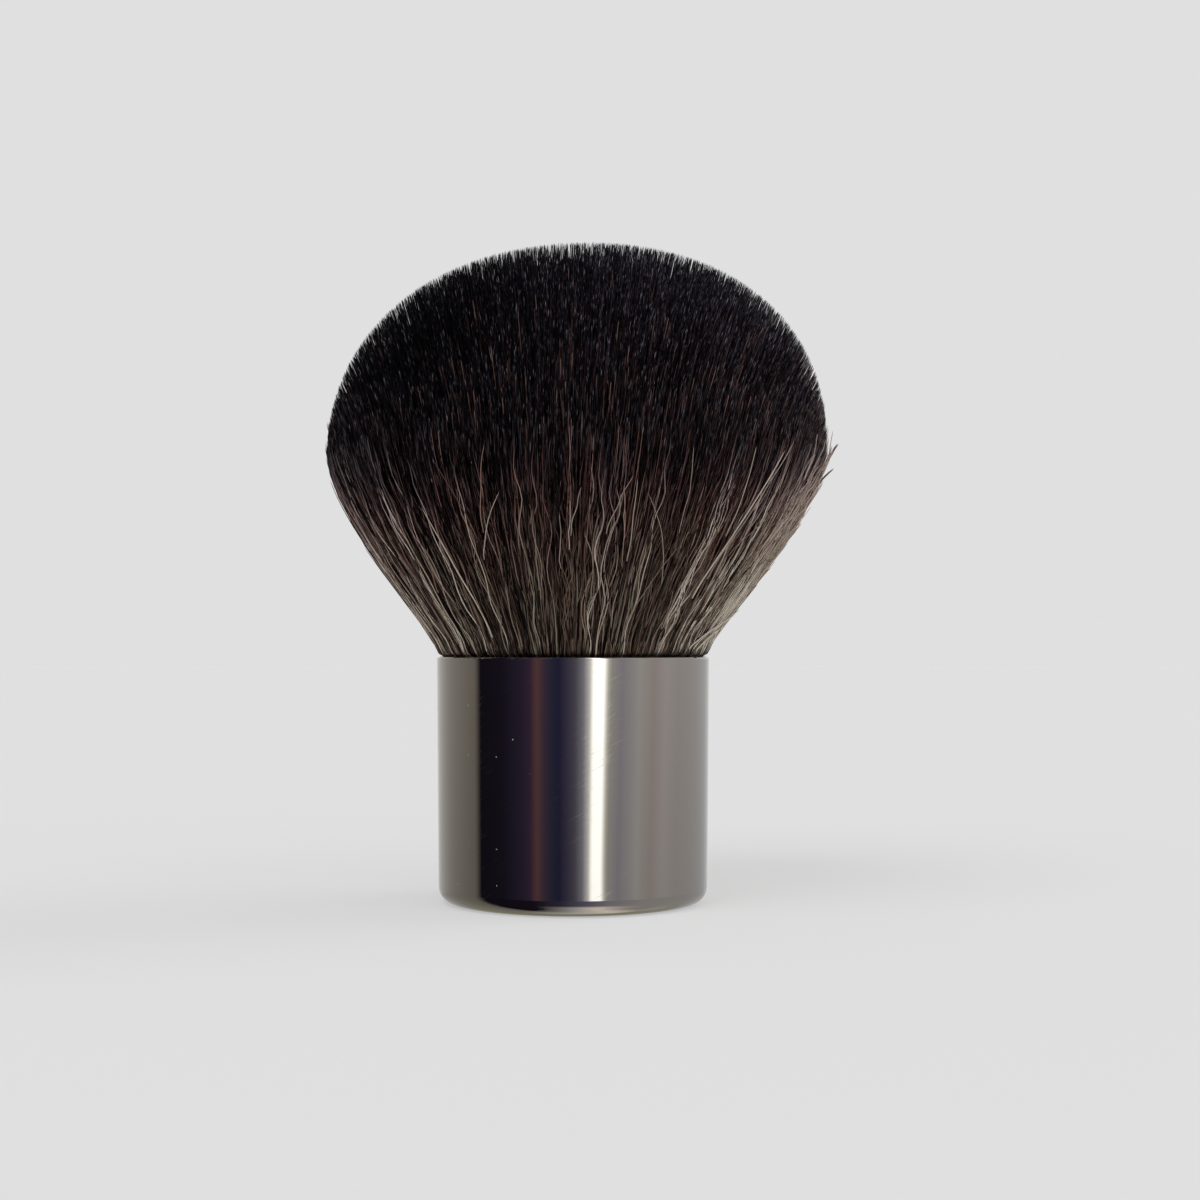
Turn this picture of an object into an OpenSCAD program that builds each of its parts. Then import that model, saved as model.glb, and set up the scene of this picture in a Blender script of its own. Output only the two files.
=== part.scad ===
// Kabuki makeup brush: a wide drawn-metal ferrule, which is also the handle, with a round-topped
// tuft of fine hair. Millimetres, +Z up, origin at the centre of the base it stands on.

/* [Ferrule] */
// Outer diameter of the ferrule at its mouth
ferrule_d = 30; // [26:0.5:36]
// Height of the ferrule from base to rim
ferrule_h = 27; // [25:0.5:34]
// Thickness of the drawn wall
ferrule_wall = 0.6; // [0.4:0.1:1]
// Thickness of the floor
ferrule_floor = 0.8; // [0.5:0.1:1.5]
// Radius lost between mouth and base, the draft of a drawn cup
ferrule_draft = 0.2; // [0:0.05:0.4]
// Outer radius of the corner between wall and base
base_corner_r = 1.8; // [1.2:0.1:3]

/* [Base weight] */
// Height of the steel slug
weight_h = 6; // [3:0.5:7]
// Chamfer on both edges of the slug
weight_chamfer = 0.6; // [0.2:0.1:1.2]
// Gap between the slug and the start of the floor's inner corner
weight_gap = 0.4; // [0.2:0.1:3]
// Thickness of the adhesive under the slug
film_t = 0.2; // [0.1:0.05:0.4]

/* [Liner] */
// Wall of the moulded liner
liner_wall = 1; // [0.6:0.1:1.6]
// Floor of the moulded liner
liner_floor = 1.2; // [0.8:0.1:2]
// Radial clearance between the liner and the ferrule
liner_clearance = 0.1; // [0.05:0.05:0.4]

/* [Knot] */
// Height of the cast glue plug
plug_h = 4; // [2:0.5:5]
// Height of the band round the hair ends
band_h = 4; // [2:0.5:5]
// Thickness of the band
band_wall = 0.5; // [0.3:0.1:0.8]
// Diameter of the binding thread
thread_d = 0.4; // [0.2:0.05:0.6]
// Turns of binding thread
thread_turns = 6; // [3:1:7]
// Radial gap between bonded or bound pieces
fit_gap = 0.05; // [0.02:0.01:0.1]

/* [Hair head] */
// Depth of the hair's backing below the rim
mouth_depth = 3; // [2:0.5:4]
// Thickness of the backing that the strands are fused to
backing_t = 2; // [1:0.5:3]
// Gap between the hair and the ferrule's bore
mouth_gap = 0.4; // [0.2:0.1:1]
// Gap between neighbouring tufts' backings
tuft_gap = 0.3; // [0.2:0.1:0.6]
// Widest radius of the head
head_r = 27.4; // [22:0.2:32]
// Height of the widest level above the rim
shoulder_h = 22; // [18:0.5:28]
// Height of the dome above its widest level
dome_h = 22.8; // [14:0.2:26]
// How far the top of the head leans towards +X
head_lean = 1.6; // [0:0.1:3]
// How much shorter the shortest strands are
tip_scatter = 1; // [0:0.1:2]

/* [Strands] */
// Rows of strands from the middle of the head to its edge
strand_rows = 11; // [10:1:12]
// Outer rows that get extra rings, because they bend most
bent_rows = 3; // [2:1:4]
// Share of a strand's cell that its section fills
strand_fill = 0.74; // [0.4:0.02:0.8]

/* [Hidden] */
$fn = 64;
// Segments of a full circle in the small rounds of a section, in the thread and round the knot
ROUND_FN = 24;
THREAD_FN = 8;
KNOT_FN = 32;
// Margin by which a cut passes the face that it opens
cut = 1;

// Radii of the nested pieces, each worked out from the one outside it
ferrule_r = ferrule_d / 2;
bore_r = ferrule_r - ferrule_wall;
bore_base_r = bore_r - ferrule_draft;
bore_corner_r = base_corner_r - ferrule_wall;
weight_r = bore_base_r - bore_corner_r - weight_gap;
liner_r = bore_base_r - liner_clearance;
liner_bore_r = liner_r - liner_wall;
plug_r = liner_bore_r - fit_gap;
knot_r = plug_r - max(band_wall, thread_d) - fit_gap;

// Heights of the stacked pieces, each standing on the one below it
weight_z = ferrule_floor + film_t;
liner_z = weight_z + weight_h;
plug_z = liner_z + liner_floor;
knot_z = plug_z + plug_h;
thread_z = knot_z + band_h + fit_gap;
thread_top_z = thread_z + thread_turns * thread_d;
backing_top_z = ferrule_h - mouth_depth;
backing_z = backing_top_z - backing_t;

// The hair head: six tufts, each a slice of the backing with its strands
TUFTS = 6;
tuft_angle = 360 / TUFTS;
backing_r = bore_base_r - mouth_gap - tuft_gap;
mouth_r = bore_r - mouth_gap - tuft_gap;
// Rings above the backing of a bent strand and of a straighter one
BENT_RINGS = 4;
PLAIN_RINGS = 2;
// Where the curve of a strand is pulled to: a share of its spread, in the middle and at the edge of
// the head, and a share of its rise
PULL_OUT = [0.75, 0.94];
PULL_UP = 0.72;
// Exponent of the dome's outline: 1 for half an ellipse, less for a fuller one
FULLNESS = 0.9;
// Shares of its width and of its depth that a strand loses on its way from the rim to its tip
TAPER = 0.1;
THINNING = 0.4;
// Place along a strand where its point starts
POINT_START = 0.88;
// Share of a cell that the tips of every second row lean to one side, and the others to the other,
// which closes the straight gaps between the tufts
SWING = 0.35;
// Distance of a triangle's centre from its inner corner, as a share of its row
CENTRE = 2 / 3;

// Half section of a cup's filled outline: a wall with draft on a rounded bottom corner
module cup_outline(top_r, base_r, corner_r, z0, z1) {
    polygon([[0, z0 + corner_r], [base_r, z0 + corner_r], [top_r, z1], [0, z1]]);
    translate([base_r - corner_r, z0 + corner_r]) circle(r = corner_r, $fn = ROUND_FN);
    translate([0, z0]) square([base_r - corner_r, 2 * corner_r]);
}

// Half section of a plain disc or ring
module ring_outline(r0, r1, z0, z1) {
    translate([r0, z0]) square([r1 - r0, z1 - z0]);
}

module ferrule_shell() {
    lip_r = ferrule_wall / 2;
    lip_z = ferrule_h - lip_r;
    color("dimgray")
    rotate_extrude() {
        intersection() {
            square([ferrule_d, ferrule_h]);
            difference() {
                cup_outline(ferrule_r, ferrule_r - ferrule_draft, base_corner_r, 0, lip_z);
                cup_outline(bore_r, bore_base_r, bore_corner_r, ferrule_floor, lip_z + cut);
            }
        }
        translate([ferrule_r - lip_r, lip_z]) circle(r = lip_r, $fn = ROUND_FN);
    }
}

module weight_adhesive() {
    color("khaki")
    rotate_extrude() ring_outline(0, weight_r - weight_chamfer, ferrule_floor, weight_z);
}

module base_weight() {
    top = weight_z + weight_h;
    color("lightsteelblue")
    rotate_extrude()
    polygon([
        [0, weight_z], [weight_r - weight_chamfer, weight_z], [weight_r, weight_z + weight_chamfer],
        [weight_r, top - weight_chamfer], [weight_r - weight_chamfer, top], [0, top]
    ]);
}

module liner_cup() {
    color("whitesmoke")
    rotate_extrude() {
        ring_outline(0, liner_r, liner_z, plug_z);
        ring_outline(liner_bore_r, liner_r, liner_z, backing_z);
    }
}

module glue_plug() {
    color("goldenrod")
    rotate_extrude() ring_outline(0, plug_r, plug_z, knot_z);
}

module knot_band() {
    inner_r = knot_r + fit_gap;
    color("silver")
    rotate_extrude() ring_outline(inner_r, inner_r + band_wall, knot_z, knot_z + band_h);
}

// Wound thread, turn against turn, drawn as one sleeve with a rounded turn in each step
module binding_thread() {
    inner_r = knot_r + fit_gap;
    turn_r = thread_d / 2;
    color("white")
    rotate_extrude($fn = KNOT_FN) {
        ring_outline(inner_r, inner_r + turn_r, thread_z, thread_top_z);
        for (turn = [0 : thread_turns - 1])
            translate([inner_r + turn_r, thread_z + (turn + 0.5) * thread_d])
                circle(r = turn_r, $fn = THREAD_FN);
    }
}

module hair_root() {
    flare_z = thread_top_z + fit_gap;
    color("tan")
    rotate_extrude() {
        ring_outline(0, knot_r, knot_z, backing_z);
        polygon([
            [0, flare_z], [knot_r, flare_z], [plug_r, min(flare_z + plug_r - knot_r, backing_z)],
            [plug_r, backing_z], [0, backing_z]
        ]);
    }
}

// Counts and places of the lattice that a tuft's strands stand on

// Lattice points in the rows before row k
function points_before(k) = k * (k + 1) / 2;

// Point j of row k on top of the backing, in a slice that lies round +X
function lattice_point(k, j) =
    let (angle = k == 0 ? 0 : tuft_angle * (j / k - 0.5))
    backing_r * k / strand_rows * [cos(angle), sin(angle)];

// Rings that a strand of row k has above the backing
function ring_count(k) = k < strand_rows - bent_rows ? PLAIN_RINGS : BENT_RINGS;

// Place of ring q along a strand of row k; the last one is the tip
function ring_place(k, q) =
    q == ring_count(k) ? 1 : POINT_START * q / (ring_count(k) - 1);

// Points of one strand of row k: three a ring, and its tip
function strand_size(k) = 3 * ring_count(k) + 1;

// Points that the strands of the rows before row k take
function strand_points_before(k) =
    k == 0 ? 0 : strand_points_before(k - 1) + k * strand_size(k - 1);

// The three lattice points under strand i of row k: one inner, two outer
function strand_corners(k, i) = [[k, i], [k + 1, i], [k + 1, i + 1]];

// A fixed, uneven number from 0 to 1 for each strand
function unevenness(k, i, tuft) =
    let (wave = sin(k * 127.1 + i * 311.7 + tuft * 74.7) * 43.7)
    wave - floor(wave);

// A flat vector turned by an angle
function turned(v, angle) =
    [v[0] * cos(angle) - v[1] * sin(angle), v[0] * sin(angle) + v[1] * cos(angle)];

// Centre line of a strand above the rim, as [radius, height], with t from 0 at the rim to 1 at
// the tip. share is its place across the mouth, from 0 in the middle to 1 at the edge.
function strand_curve(share, t, shorter) =
    let (
        foot = [share * mouth_r, 0],
        tip = [
            head_r * pow(sin(90 * share), FULLNESS),
            shoulder_h + dome_h * pow(cos(90 * share), FULLNESS) - shorter
        ],
        pull_out = PULL_OUT[0] + (PULL_OUT[1] - PULL_OUT[0]) * share,
        pull = [foot[0] + pull_out * (tip[0] - foot[0]), PULL_UP * tip[1]]
    )
    (1 - t) * (1 - t) * foot + 2 * t * (1 - t) * pull + t * t * tip;

// One ring of a strand, or its tip where t is 1: its lattice triangle, carried along the curve
function strand_ring(k, i, t, tuft) =
    let (
        corners = [for (c = strand_corners(k, i)) lattice_point(c[0], c[1])],
        centre = (corners[0] + corners[1] + corners[2]) / 3,
        out = centre / norm(centre),
        share = (k + CENTRE) / (strand_rows - 1 + CENTRE),
        at = strand_curve(share, t, tip_scatter * unevenness(k, i, tuft)),
        edge = (mouth_r - backing_r) * share,
        swing = SWING * t * tuft_angle / (k + 1) * (k % 2 == 0 ? 1 : -1),
        middle = turned(out, swing) * (norm(centre) + edge + at[0] - share * mouth_r),
        rise = at[1] / (shoulder_h + dome_h),
        lean = head_lean * rise * rise * [cos(tuft_turn(tuft)), -sin(tuft_turn(tuft))],
        grow = strand_fill * norm(middle) / norm(centre)
    )
    t == 1
        ? [[middle[0] + lean[0], middle[1] + lean[1], ferrule_h + at[1]]]
        : [
            for (c = corners)
                let (
                    deep = ((c - centre) * out) * out,
                    wide = c - centre - deep,
                    offset = grow * ((1 - THINNING * t) * deep + (1 - TAPER * t) * wide)
                )
                [for (v = middle + lean + turned(offset, swing)) v, ferrule_h + at[1]]
        ];

// Direction of the middle of a tuft
function tuft_turn(tuft) = tuft_angle * (tuft - 0.5);

// One closed mesh: a slice of the backing whose top carries the strands. Every second triangle of
// the top face is the foot of a strand, so that neighbours meet only at the corners of their feet.
module bristle_tuft(tuft) {
    rows = strand_rows;
    lattice_size = points_before(rows + 1);
    apex_below = lattice_size;
    first_strand = lattice_size + rows + 2;

    top = [
        for (k = [0 : rows], j = [0 : k])
            [for (v = lattice_point(k, j)) v, backing_top_z]
    ];
    below = [
        [0, 0, backing_z],
        for (j = [0 : rows]) [for (v = lattice_point(rows, j)) v, backing_z]
    ];
    strands = [
        for (k = [0 : rows - 1], i = [0 : k], q = [0 : ring_count(k)])
            each strand_ring(k, i, ring_place(k, q), tuft)
    ];

    between = [
        for (k = [1 : rows - 1], i = [0 : k - 1])
            [points_before(k) + i, points_before(k) + i + 1, points_before(k + 1) + i + 1]
    ];
    flanks = [
        for (k = [0 : rows - 1]) each [
            [apex_below, points_before(k), points_before(k + 1)],
            [apex_below, points_before(k + 1) + k + 1, points_before(k) + k]
        ],
        [apex_below, points_before(rows), apex_below + 1],
        [apex_below, apex_below + rows + 1, points_before(rows) + rows]
    ];
    rim = [
        for (j = [0 : rows - 1]) each [
            [points_before(rows) + j, points_before(rows) + j + 1, apex_below + 1 + j],
            [points_before(rows) + j + 1, apex_below + 2 + j, apex_below + 1 + j],
            [apex_below, apex_below + 1 + j, apex_below + 2 + j]
        ]
    ];
    walls = [
        for (k = [0 : rows - 1], i = [0 : k])
            let (
                foot = [for (c = strand_corners(k, i)) points_before(c[0]) + c[1]],
                start = first_strand + strand_points_before(k) + i * strand_size(k),
                tip = start + strand_size(k) - 1
            )
            for (q = [0 : ring_count(k)], c = [0 : 2])
                let (
                    d = (c + 1) % 3,
                    low_c = q == 0 ? foot[c] : start + 3 * (q - 1) + c,
                    low_d = q == 0 ? foot[d] : start + 3 * (q - 1) + d
                )
                each q == ring_count(k)
                    ? [[low_d, low_c, tip]]
                    : [
                        [low_d, low_c, start + 3 * q + c],
                        [low_d, start + 3 * q + c, start + 3 * q + d]
                    ]
    ];

    color([0.2, 0.17, 0.17])
    rotate([0, 0, tuft_turn(tuft)])
    translate([tuft_gap / 2 / sin(tuft_angle / 2), 0, 0])
    polyhedron(points = concat(top, below, strands), faces = concat(between, flanks, rim, walls));
}

ferrule_shell();
weight_adhesive();
base_weight();
liner_cup();
glue_plug();
knot_band();
binding_thread();
hair_root();
bristle_tuft(1);  // bristle_tuft_1
bristle_tuft(2);  // bristle_tuft_2
bristle_tuft(3);  // bristle_tuft_3
bristle_tuft(4);  // bristle_tuft_4
bristle_tuft(5);  // bristle_tuft_5
bristle_tuft(6);  // bristle_tuft_6
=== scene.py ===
"""Kabuki makeup brush, dressed: black-chrome ferrule and a wide round head of fine two-tone hair.

Metres throughout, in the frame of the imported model: +Z up, origin at the centre of the base.
"""

import math

import bpy
import numpy as np
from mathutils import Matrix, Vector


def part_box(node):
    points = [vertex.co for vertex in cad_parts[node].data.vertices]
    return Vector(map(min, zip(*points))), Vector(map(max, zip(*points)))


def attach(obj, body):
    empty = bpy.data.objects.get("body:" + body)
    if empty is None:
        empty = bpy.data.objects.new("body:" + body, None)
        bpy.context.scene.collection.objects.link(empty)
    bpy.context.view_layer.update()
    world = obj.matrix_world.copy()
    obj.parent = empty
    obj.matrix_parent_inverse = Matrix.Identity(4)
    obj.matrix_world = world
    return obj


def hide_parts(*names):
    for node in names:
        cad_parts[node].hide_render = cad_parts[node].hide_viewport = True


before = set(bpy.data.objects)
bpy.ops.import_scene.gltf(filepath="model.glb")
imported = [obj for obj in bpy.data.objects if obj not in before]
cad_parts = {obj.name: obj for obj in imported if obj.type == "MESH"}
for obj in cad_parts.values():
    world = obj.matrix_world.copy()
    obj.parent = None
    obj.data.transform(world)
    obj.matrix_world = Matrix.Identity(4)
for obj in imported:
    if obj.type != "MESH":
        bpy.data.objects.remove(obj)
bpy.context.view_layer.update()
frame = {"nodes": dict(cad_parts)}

bl_info = {
    "name": "Kabuki Brush",
    "version": (1, 0, 0),
    "blender": (4, 5, 0),
    "location": "View3D > Sidebar > Kabuki Brush",
    "description": "Dresses the packed kabuki makeup brush: ferrule, base, knot, hair and studio",
    "category": "Add Mesh",
}

MM = 0.001
BODY = "root"
TUFTS = 6
# Distance between the bands or rings of a Wave texture at scale 1
WAVE_TURN = 0.314
BAKE_MAP = "OFBake"

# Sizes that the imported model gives
FERRULE_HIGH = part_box("ferrule_shell")[1]
FERRULE_R = FERRULE_HIGH.x
RIM_Z = FERRULE_HIGH.z
ROOT_LOW, ROOT_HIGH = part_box("hair_root")
BAND_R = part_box("knot_band")[1].x
THREAD_LOW, THREAD_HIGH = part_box("binding_thread")


def linear(colour, bright=1.0):
    """Turns an sRGB hex colour, at that brightness, into the linear RGBA that nodes and lamps take."""
    shares = [int(colour[i:i + 2], 16) / 255 for i in (1, 3, 5)]
    tones = [s / 12.92 if s <= 0.04045 else ((s + 0.055) / 1.055) ** 2.4 for s in shares]
    return [tone * bright for tone in tones] + [1.0]


def length(name, description, default_mm, low_mm=0.0, high_mm=500.0):
    """A length property whose default and limits are given in millimetres."""
    return bpy.props.FloatProperty(
        name=name, description=description, default=default_mm * MM, min=low_mm * MM,
        max=high_mm * MM, unit="LENGTH", precision=5)


def colour(name, description, hex_code):
    """A colour property whose default is an sRGB hex value."""
    return bpy.props.FloatVectorProperty(
        name=name, description=description, default=linear(hex_code)[:3], size=3, min=0.0,
        max=1.0, subtype="COLOR")


class KabukiHeadSettings(bpy.types.PropertyGroup):
    """Shape of the head of hair."""

    head_r: length("Head radius", "Widest radius of the head", 27.4, 22, 32)
    shoulder_h: length("Shoulder", "Height of the widest level above the rim", 22, 18, 28)
    dome_h: length("Dome", "Height of the dome above its widest level", 22.8, 14, 26)
    head_lean: length("Lean", "How far the top leans towards +X", 1.6, 0, 3)
    mouth_r: length("Mouth radius", "Radius of the hair where it leaves the ferrule", 14.2, 10, 16)
    seed: bpy.props.IntProperty(name="Seed", description="Start of the random draws", default=7)


class KabukiHairSettings(bpy.types.PropertyGroup):
    """Counts and thicknesses of the hairs. They are drawn about twice as thick as real ones."""

    under_count: bpy.props.IntProperty(
        name="Under hair", description="Dark hairs of the flank, a tuft", default=2300, min=100)
    guard_count: bpy.props.IntProperty(
        name="Guard hair", description="Long wavy light hairs of the flank, a tuft", default=640, min=50)
    crown_count: bpy.props.IntProperty(
        name="Crown hair", description="Hair ends that make the dome, a tuft", default=4400, min=100)
    under_d: length("Under hair diameter", "Thickness of a dark flank hair", 0.125, 0.05, 0.4)
    guard_d: length("Guard hair diameter", "Thickness of a light flank hair", 0.12, 0.05, 0.4)
    crown_d: length("Crown hair diameter", "Thickness of a hair end", 0.085, 0.05, 0.4)
    wave_length: length("Wave length", "Distance from crest to crest of a wavy hair", 8.5, 3, 20)
    wave_size: length("Wave size", "How far a wavy hair swings to each side", 0.42, 0, 1.5)
    crown_length: length("Crown length", "Length of a hair end that shows", 11, 3, 20)
    tip_scatter: length("Tip scatter", "How much shorter the shortest hair ends are", 2.4, 0, 4)


class KabukiMetalSettings(bpy.types.PropertyGroup):
    """Finish of the ferrule."""

    chrome: colour("Black chrome", "Colour of the plated ferrule", "#9c9996")
    roughness: bpy.props.FloatProperty(
        name="Roughness", description="Roughness of the polished plating", default=0.05, min=0.0,
        max=1.0, subtype="FACTOR")


class KabukiStageSettings(bpy.types.PropertyGroup):
    """Camera, floor and lamps."""

    distance: length("Distance", "From the brush's axis to the camera", 220, 100, 1000)
    scale: bpy.props.FloatProperty(
        name="Scale", description="Photograph pixels to a millimetre at the axis", default=9.067)
    axis_x: bpy.props.FloatProperty(
        name="Axis column", description="Photograph column of the brush's axis", default=573.0)
    rim_y: bpy.props.FloatProperty(
        name="Rim row", description="Photograph row of the ferrule's rim", default=656.5)
    backdrop: colour("Backdrop", "Colour of floor and background", "#e0e0e0")


class KabukiSettings(bpy.types.PropertyGroup):
    """All settings of the brush."""

    head: bpy.props.PointerProperty(type=KabukiHeadSettings)
    hair: bpy.props.PointerProperty(type=KabukiHairSettings)
    metal: bpy.props.PointerProperty(type=KabukiMetalSettings)
    stage: bpy.props.PointerProperty(type=KabukiStageSettings)


# Materials

def add_node(tree, kind, settings=None, links=None, stops=()):
    """Adds a node; settings go to its properties or unlinked inputs, links feed its inputs.

    stops are a Color Ramp's, each (position, sRGB hex) or (position, sRGB hex, brightness).
    """
    node = tree.nodes.new(kind)
    for key, value in (settings or {}).items():
        if isinstance(key, str) and hasattr(node, key):
            setattr(node, key, value)
        else:
            node.inputs[key].default_value = value
    for key, socket in (links or {}).items():
        tree.links.new(socket, node.inputs[key])
    if stops:
        elements = node.color_ramp.elements
        while len(elements) < len(stops):
            elements.new(1.0)
        for element, (position, *tone) in zip(elements, stops):
            element.position = position
            element.color = linear(*tone)
    return node


def new_material(name):
    """An empty node material and its tree."""
    material = bpy.data.materials.new(name)
    material.use_nodes = True
    material.node_tree.nodes.clear()
    return material, material.node_tree


def finish_material(tree, settings, links):
    """Closes a tree with a Principled shader."""
    shader = add_node(tree, "ShaderNodeBsdfPrincipled", settings, links)
    add_node(tree, "ShaderNodeOutputMaterial", links={"Surface": shader.outputs["BSDF"]})


def finish_patterned(tree, pattern, stops, settings, depth, strength=1.0):
    """Closes a tree with a Principled shader whose tone and relief both follow one pattern."""
    tone = add_node(tree, "ShaderNodeValToRGB", links={"Fac": pattern}, stops=stops)
    bump = add_node(
        tree, "ShaderNodeBump", {"Distance": depth, "Strength": strength}, {"Height": pattern})
    finish_material(
        tree, settings, {"Base Color": tone.outputs["Color"], "Normal": bump.outputs["Normal"]})


def wrapped_place(tree, around=1.0, up=1.0):
    """Place on a turned piece, unrolled to arc length and height, each times a stretch."""
    place = add_node(tree, "ShaderNodeTexCoord")
    xyz = add_node(tree, "ShaderNodeSeparateXYZ", links={0: place.outputs["Object"]})
    turn = add_node(
        tree, "ShaderNodeMath", {"operation": "ARCTAN2"},
        {0: xyz.outputs["Y"], 1: xyz.outputs["X"]})
    arc = add_node(
        tree, "ShaderNodeMath", {"operation": "MULTIPLY", 1: FERRULE_R * around},
        {0: turn.outputs[0]})
    rise = add_node(
        tree, "ShaderNodeMath", {"operation": "MULTIPLY", 1: up}, {0: xyz.outputs["Z"]})
    unrolled = add_node(
        tree, "ShaderNodeCombineXYZ", links={"X": arc.outputs[0], "Y": rise.outputs[0]})
    return unrolled.outputs[0]


def wiping_marks(tree, place, rough):
    """Adds slanted hairlines that wiping leaves in patches, 3 mm long, to a roughness.

    They are drawn 0.12 mm wide so that they show.
    """
    width, slant, patch_size = 0.12 * MM, math.radians(-28), 7 * MM
    slanted = add_node(
        tree, "ShaderNodeMapping", {"Rotation": (0.0, 0.0, slant)}, {"Vector": place})
    drawn_out = add_node(
        tree, "ShaderNodeVectorMath", {"operation": "MULTIPLY", 1: (0.04, 1.0, 1.0)},
        {0: slanted.outputs["Vector"]})
    scratches = add_node(
        tree, "ShaderNodeTexNoise", {"Scale": 1 / width}, {"Vector": drawn_out.outputs[0]})
    hairlines = add_node(
        tree, "ShaderNodeMapRange", {"From Min": 0.56, "From Max": 0.70, "To Max": 0.20},
        {"Value": scratches.outputs["Fac"]})
    patches = add_node(
        tree, "ShaderNodeTexNoise", {"Scale": 1 / patch_size},
        {"Vector": wrapped_place(tree, 1.0, 0.6)})
    wiped = add_node(
        tree, "ShaderNodeMapRange", {"From Min": 0.42, "From Max": 0.56},
        {"Value": patches.outputs["Fac"]})
    marked = add_node(
        tree, "ShaderNodeMath", {"operation": "MULTIPLY_ADD"},
        {0: hairlines.outputs["Result"], 1: wiped.outputs["Result"], 2: rough})
    return marked.outputs[0]


def dust_specks(tree, place):
    """1 on specks of dust and 0 beside them: about one cell in twelve has one, 0.2 mm or less."""
    cell = 2 * MM
    cells = add_node(
        tree, "ShaderNodeTexVoronoi", {"voronoi_dimensions": "2D", "Scale": 1 / cell},
        {"Vector": place})
    pick = add_node(tree, "ShaderNodeSeparateColor", links={0: cells.outputs["Color"]})
    reach = add_node(
        tree, "ShaderNodeMapRange", {"From Min": 0.92, "From Max": 1.0, "To Max": 0.05},
        {"Value": pick.outputs[0]})
    dusty = add_node(
        tree, "ShaderNodeMath", {"operation": "LESS_THAN"},
        {0: cells.outputs["Distance"], 1: reach.outputs["Result"]})
    return dusty.outputs[0]


def black_chrome_material(settings):
    """Black chrome, plated on a drawn and polished cup: a dark mirror whose buffing lines blur it."""
    material, tree = new_material("black_chrome_polished")
    buff_gap, buff_depth, haze_size = 0.06 * MM, 0.0006 * MM, 4 * MM
    place = wrapped_place(tree)
    # Buffing lines run round the cup, and handling haze lies on them in soft patches
    lines = add_node(
        tree, "ShaderNodeTexNoise", {"Scale": 1 / buff_gap, "Detail": 4.0},
        {"Vector": wrapped_place(tree, 0.02)})
    haze = add_node(tree, "ShaderNodeTexNoise", {"Scale": 1 / haze_size}, {"Vector": place})
    both = add_node(
        tree, "ShaderNodeMath", {"operation": "MULTIPLY"},
        {0: lines.outputs["Fac"], 1: haze.outputs["Fac"]})
    rough = add_node(
        tree, "ShaderNodeMapRange",
        {"To Min": settings.roughness * 0.6, "To Max": settings.roughness * 1.8},
        {"Value": both.outputs[0]})
    dusty = dust_specks(tree, place)
    tone = add_node(
        tree, "ShaderNodeMix",
        {"data_type": "RGBA", 6: (*settings.chrome, 1.0), 7: linear("#8f8d8a")}, {0: dusty})
    bare = add_node(tree, "ShaderNodeMath", {"operation": "SUBTRACT", 0: 1.0}, {1: dusty})
    relief = add_node(
        tree, "ShaderNodeBump", {"Distance": buff_depth}, {"Height": lines.outputs["Fac"]})
    finish_material(
        tree, {},
        {"Base Color": tone.outputs[2], "Metallic": bare.outputs[0],
         "Roughness": wiping_marks(tree, place, rough.outputs["Result"]),
         "Normal": relief.outputs["Normal"]})
    return material


def steel_material():
    """Free-cutting steel, faced on a lathe: fine rings catch the light."""
    material, tree = new_material("turned_steel")
    feed, depth = 0.25 * MM, 0.01 * MM
    place = add_node(tree, "ShaderNodeTexCoord")
    rings = add_node(
        tree, "ShaderNodeTexWave",
        {"wave_type": "RINGS", "rings_direction": "Z", "Scale": WAVE_TURN / feed,
         "Distortion": 0.4},
        {"Vector": place.outputs["Object"]})
    finish_patterned(
        tree, rings.outputs["Fac"], [(0.0, "#a9abad"), (1.0, "#c4c5c7")],
        {"Metallic": 1.0, "Roughness": 0.32}, depth)
    return material


def moulded_material():
    """Polystyrene liner, injection moulded: satin, with a faint flow pattern."""
    material, tree = new_material("moulded_polystyrene")
    flow_size, skin_grain, skin_depth = 2.5 * MM, 0.15 * MM, 0.006 * MM
    flow = add_node(
        tree, "ShaderNodeTexNoise", {"Scale": 1 / flow_size},
        {"Vector": wrapped_place(tree, 1.0, 0.3)})
    tone = add_node(
        tree, "ShaderNodeValToRGB", links={"Fac": flow.outputs["Fac"]},
        stops=[(0.3, "#e4e2dc"), (0.7, "#eeece7")])
    skin = add_node(
        tree, "ShaderNodeTexNoise", {"Scale": 1 / skin_grain}, {"Vector": wrapped_place(tree)})
    relief = add_node(
        tree, "ShaderNodeBump", {"Distance": skin_depth}, {"Height": skin.outputs["Fac"]})
    finish_material(
        tree, {"Roughness": 0.38, "IOR": 1.59},
        {"Base Color": tone.outputs["Color"], "Normal": relief.outputs["Normal"]})
    return material


def resin_material(name, dark, pale, roughness, bubble):
    """Cured resin: amber, glassy, clouded by trapped bubbles of that size."""
    material, tree = new_material(name)
    place = add_node(tree, "ShaderNodeTexCoord")
    bubbles = add_node(
        tree, "ShaderNodeTexVoronoi", {"Scale": 1 / bubble}, {"Vector": place.outputs["Object"]})
    finish_patterned(
        tree, bubbles.outputs["Distance"], [(0.08, pale), (0.3, dark)],
        {"Roughness": roughness, "IOR": 1.5, "Coat Weight": 0.3}, depth=0.03 * MM, strength=0.4)
    return material


def aluminium_material():
    """Aluminium strip, rolled and crimped: lines run along the strip, round the knot."""
    material, tree = new_material("rolled_aluminium")
    line_gap, depth = 0.12 * MM, 0.004 * MM
    lines = add_node(
        tree, "ShaderNodeTexNoise", {"Scale": 1 / line_gap, "Detail": 3.0},
        {"Vector": wrapped_place(tree, 0.03)})
    finish_patterned(
        tree, lines.outputs["Fac"], [(0.3, "#cfd0d2"), (0.7, "#e2e3e5")],
        {"Metallic": 1.0, "Roughness": 0.3}, depth)
    return material


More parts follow.
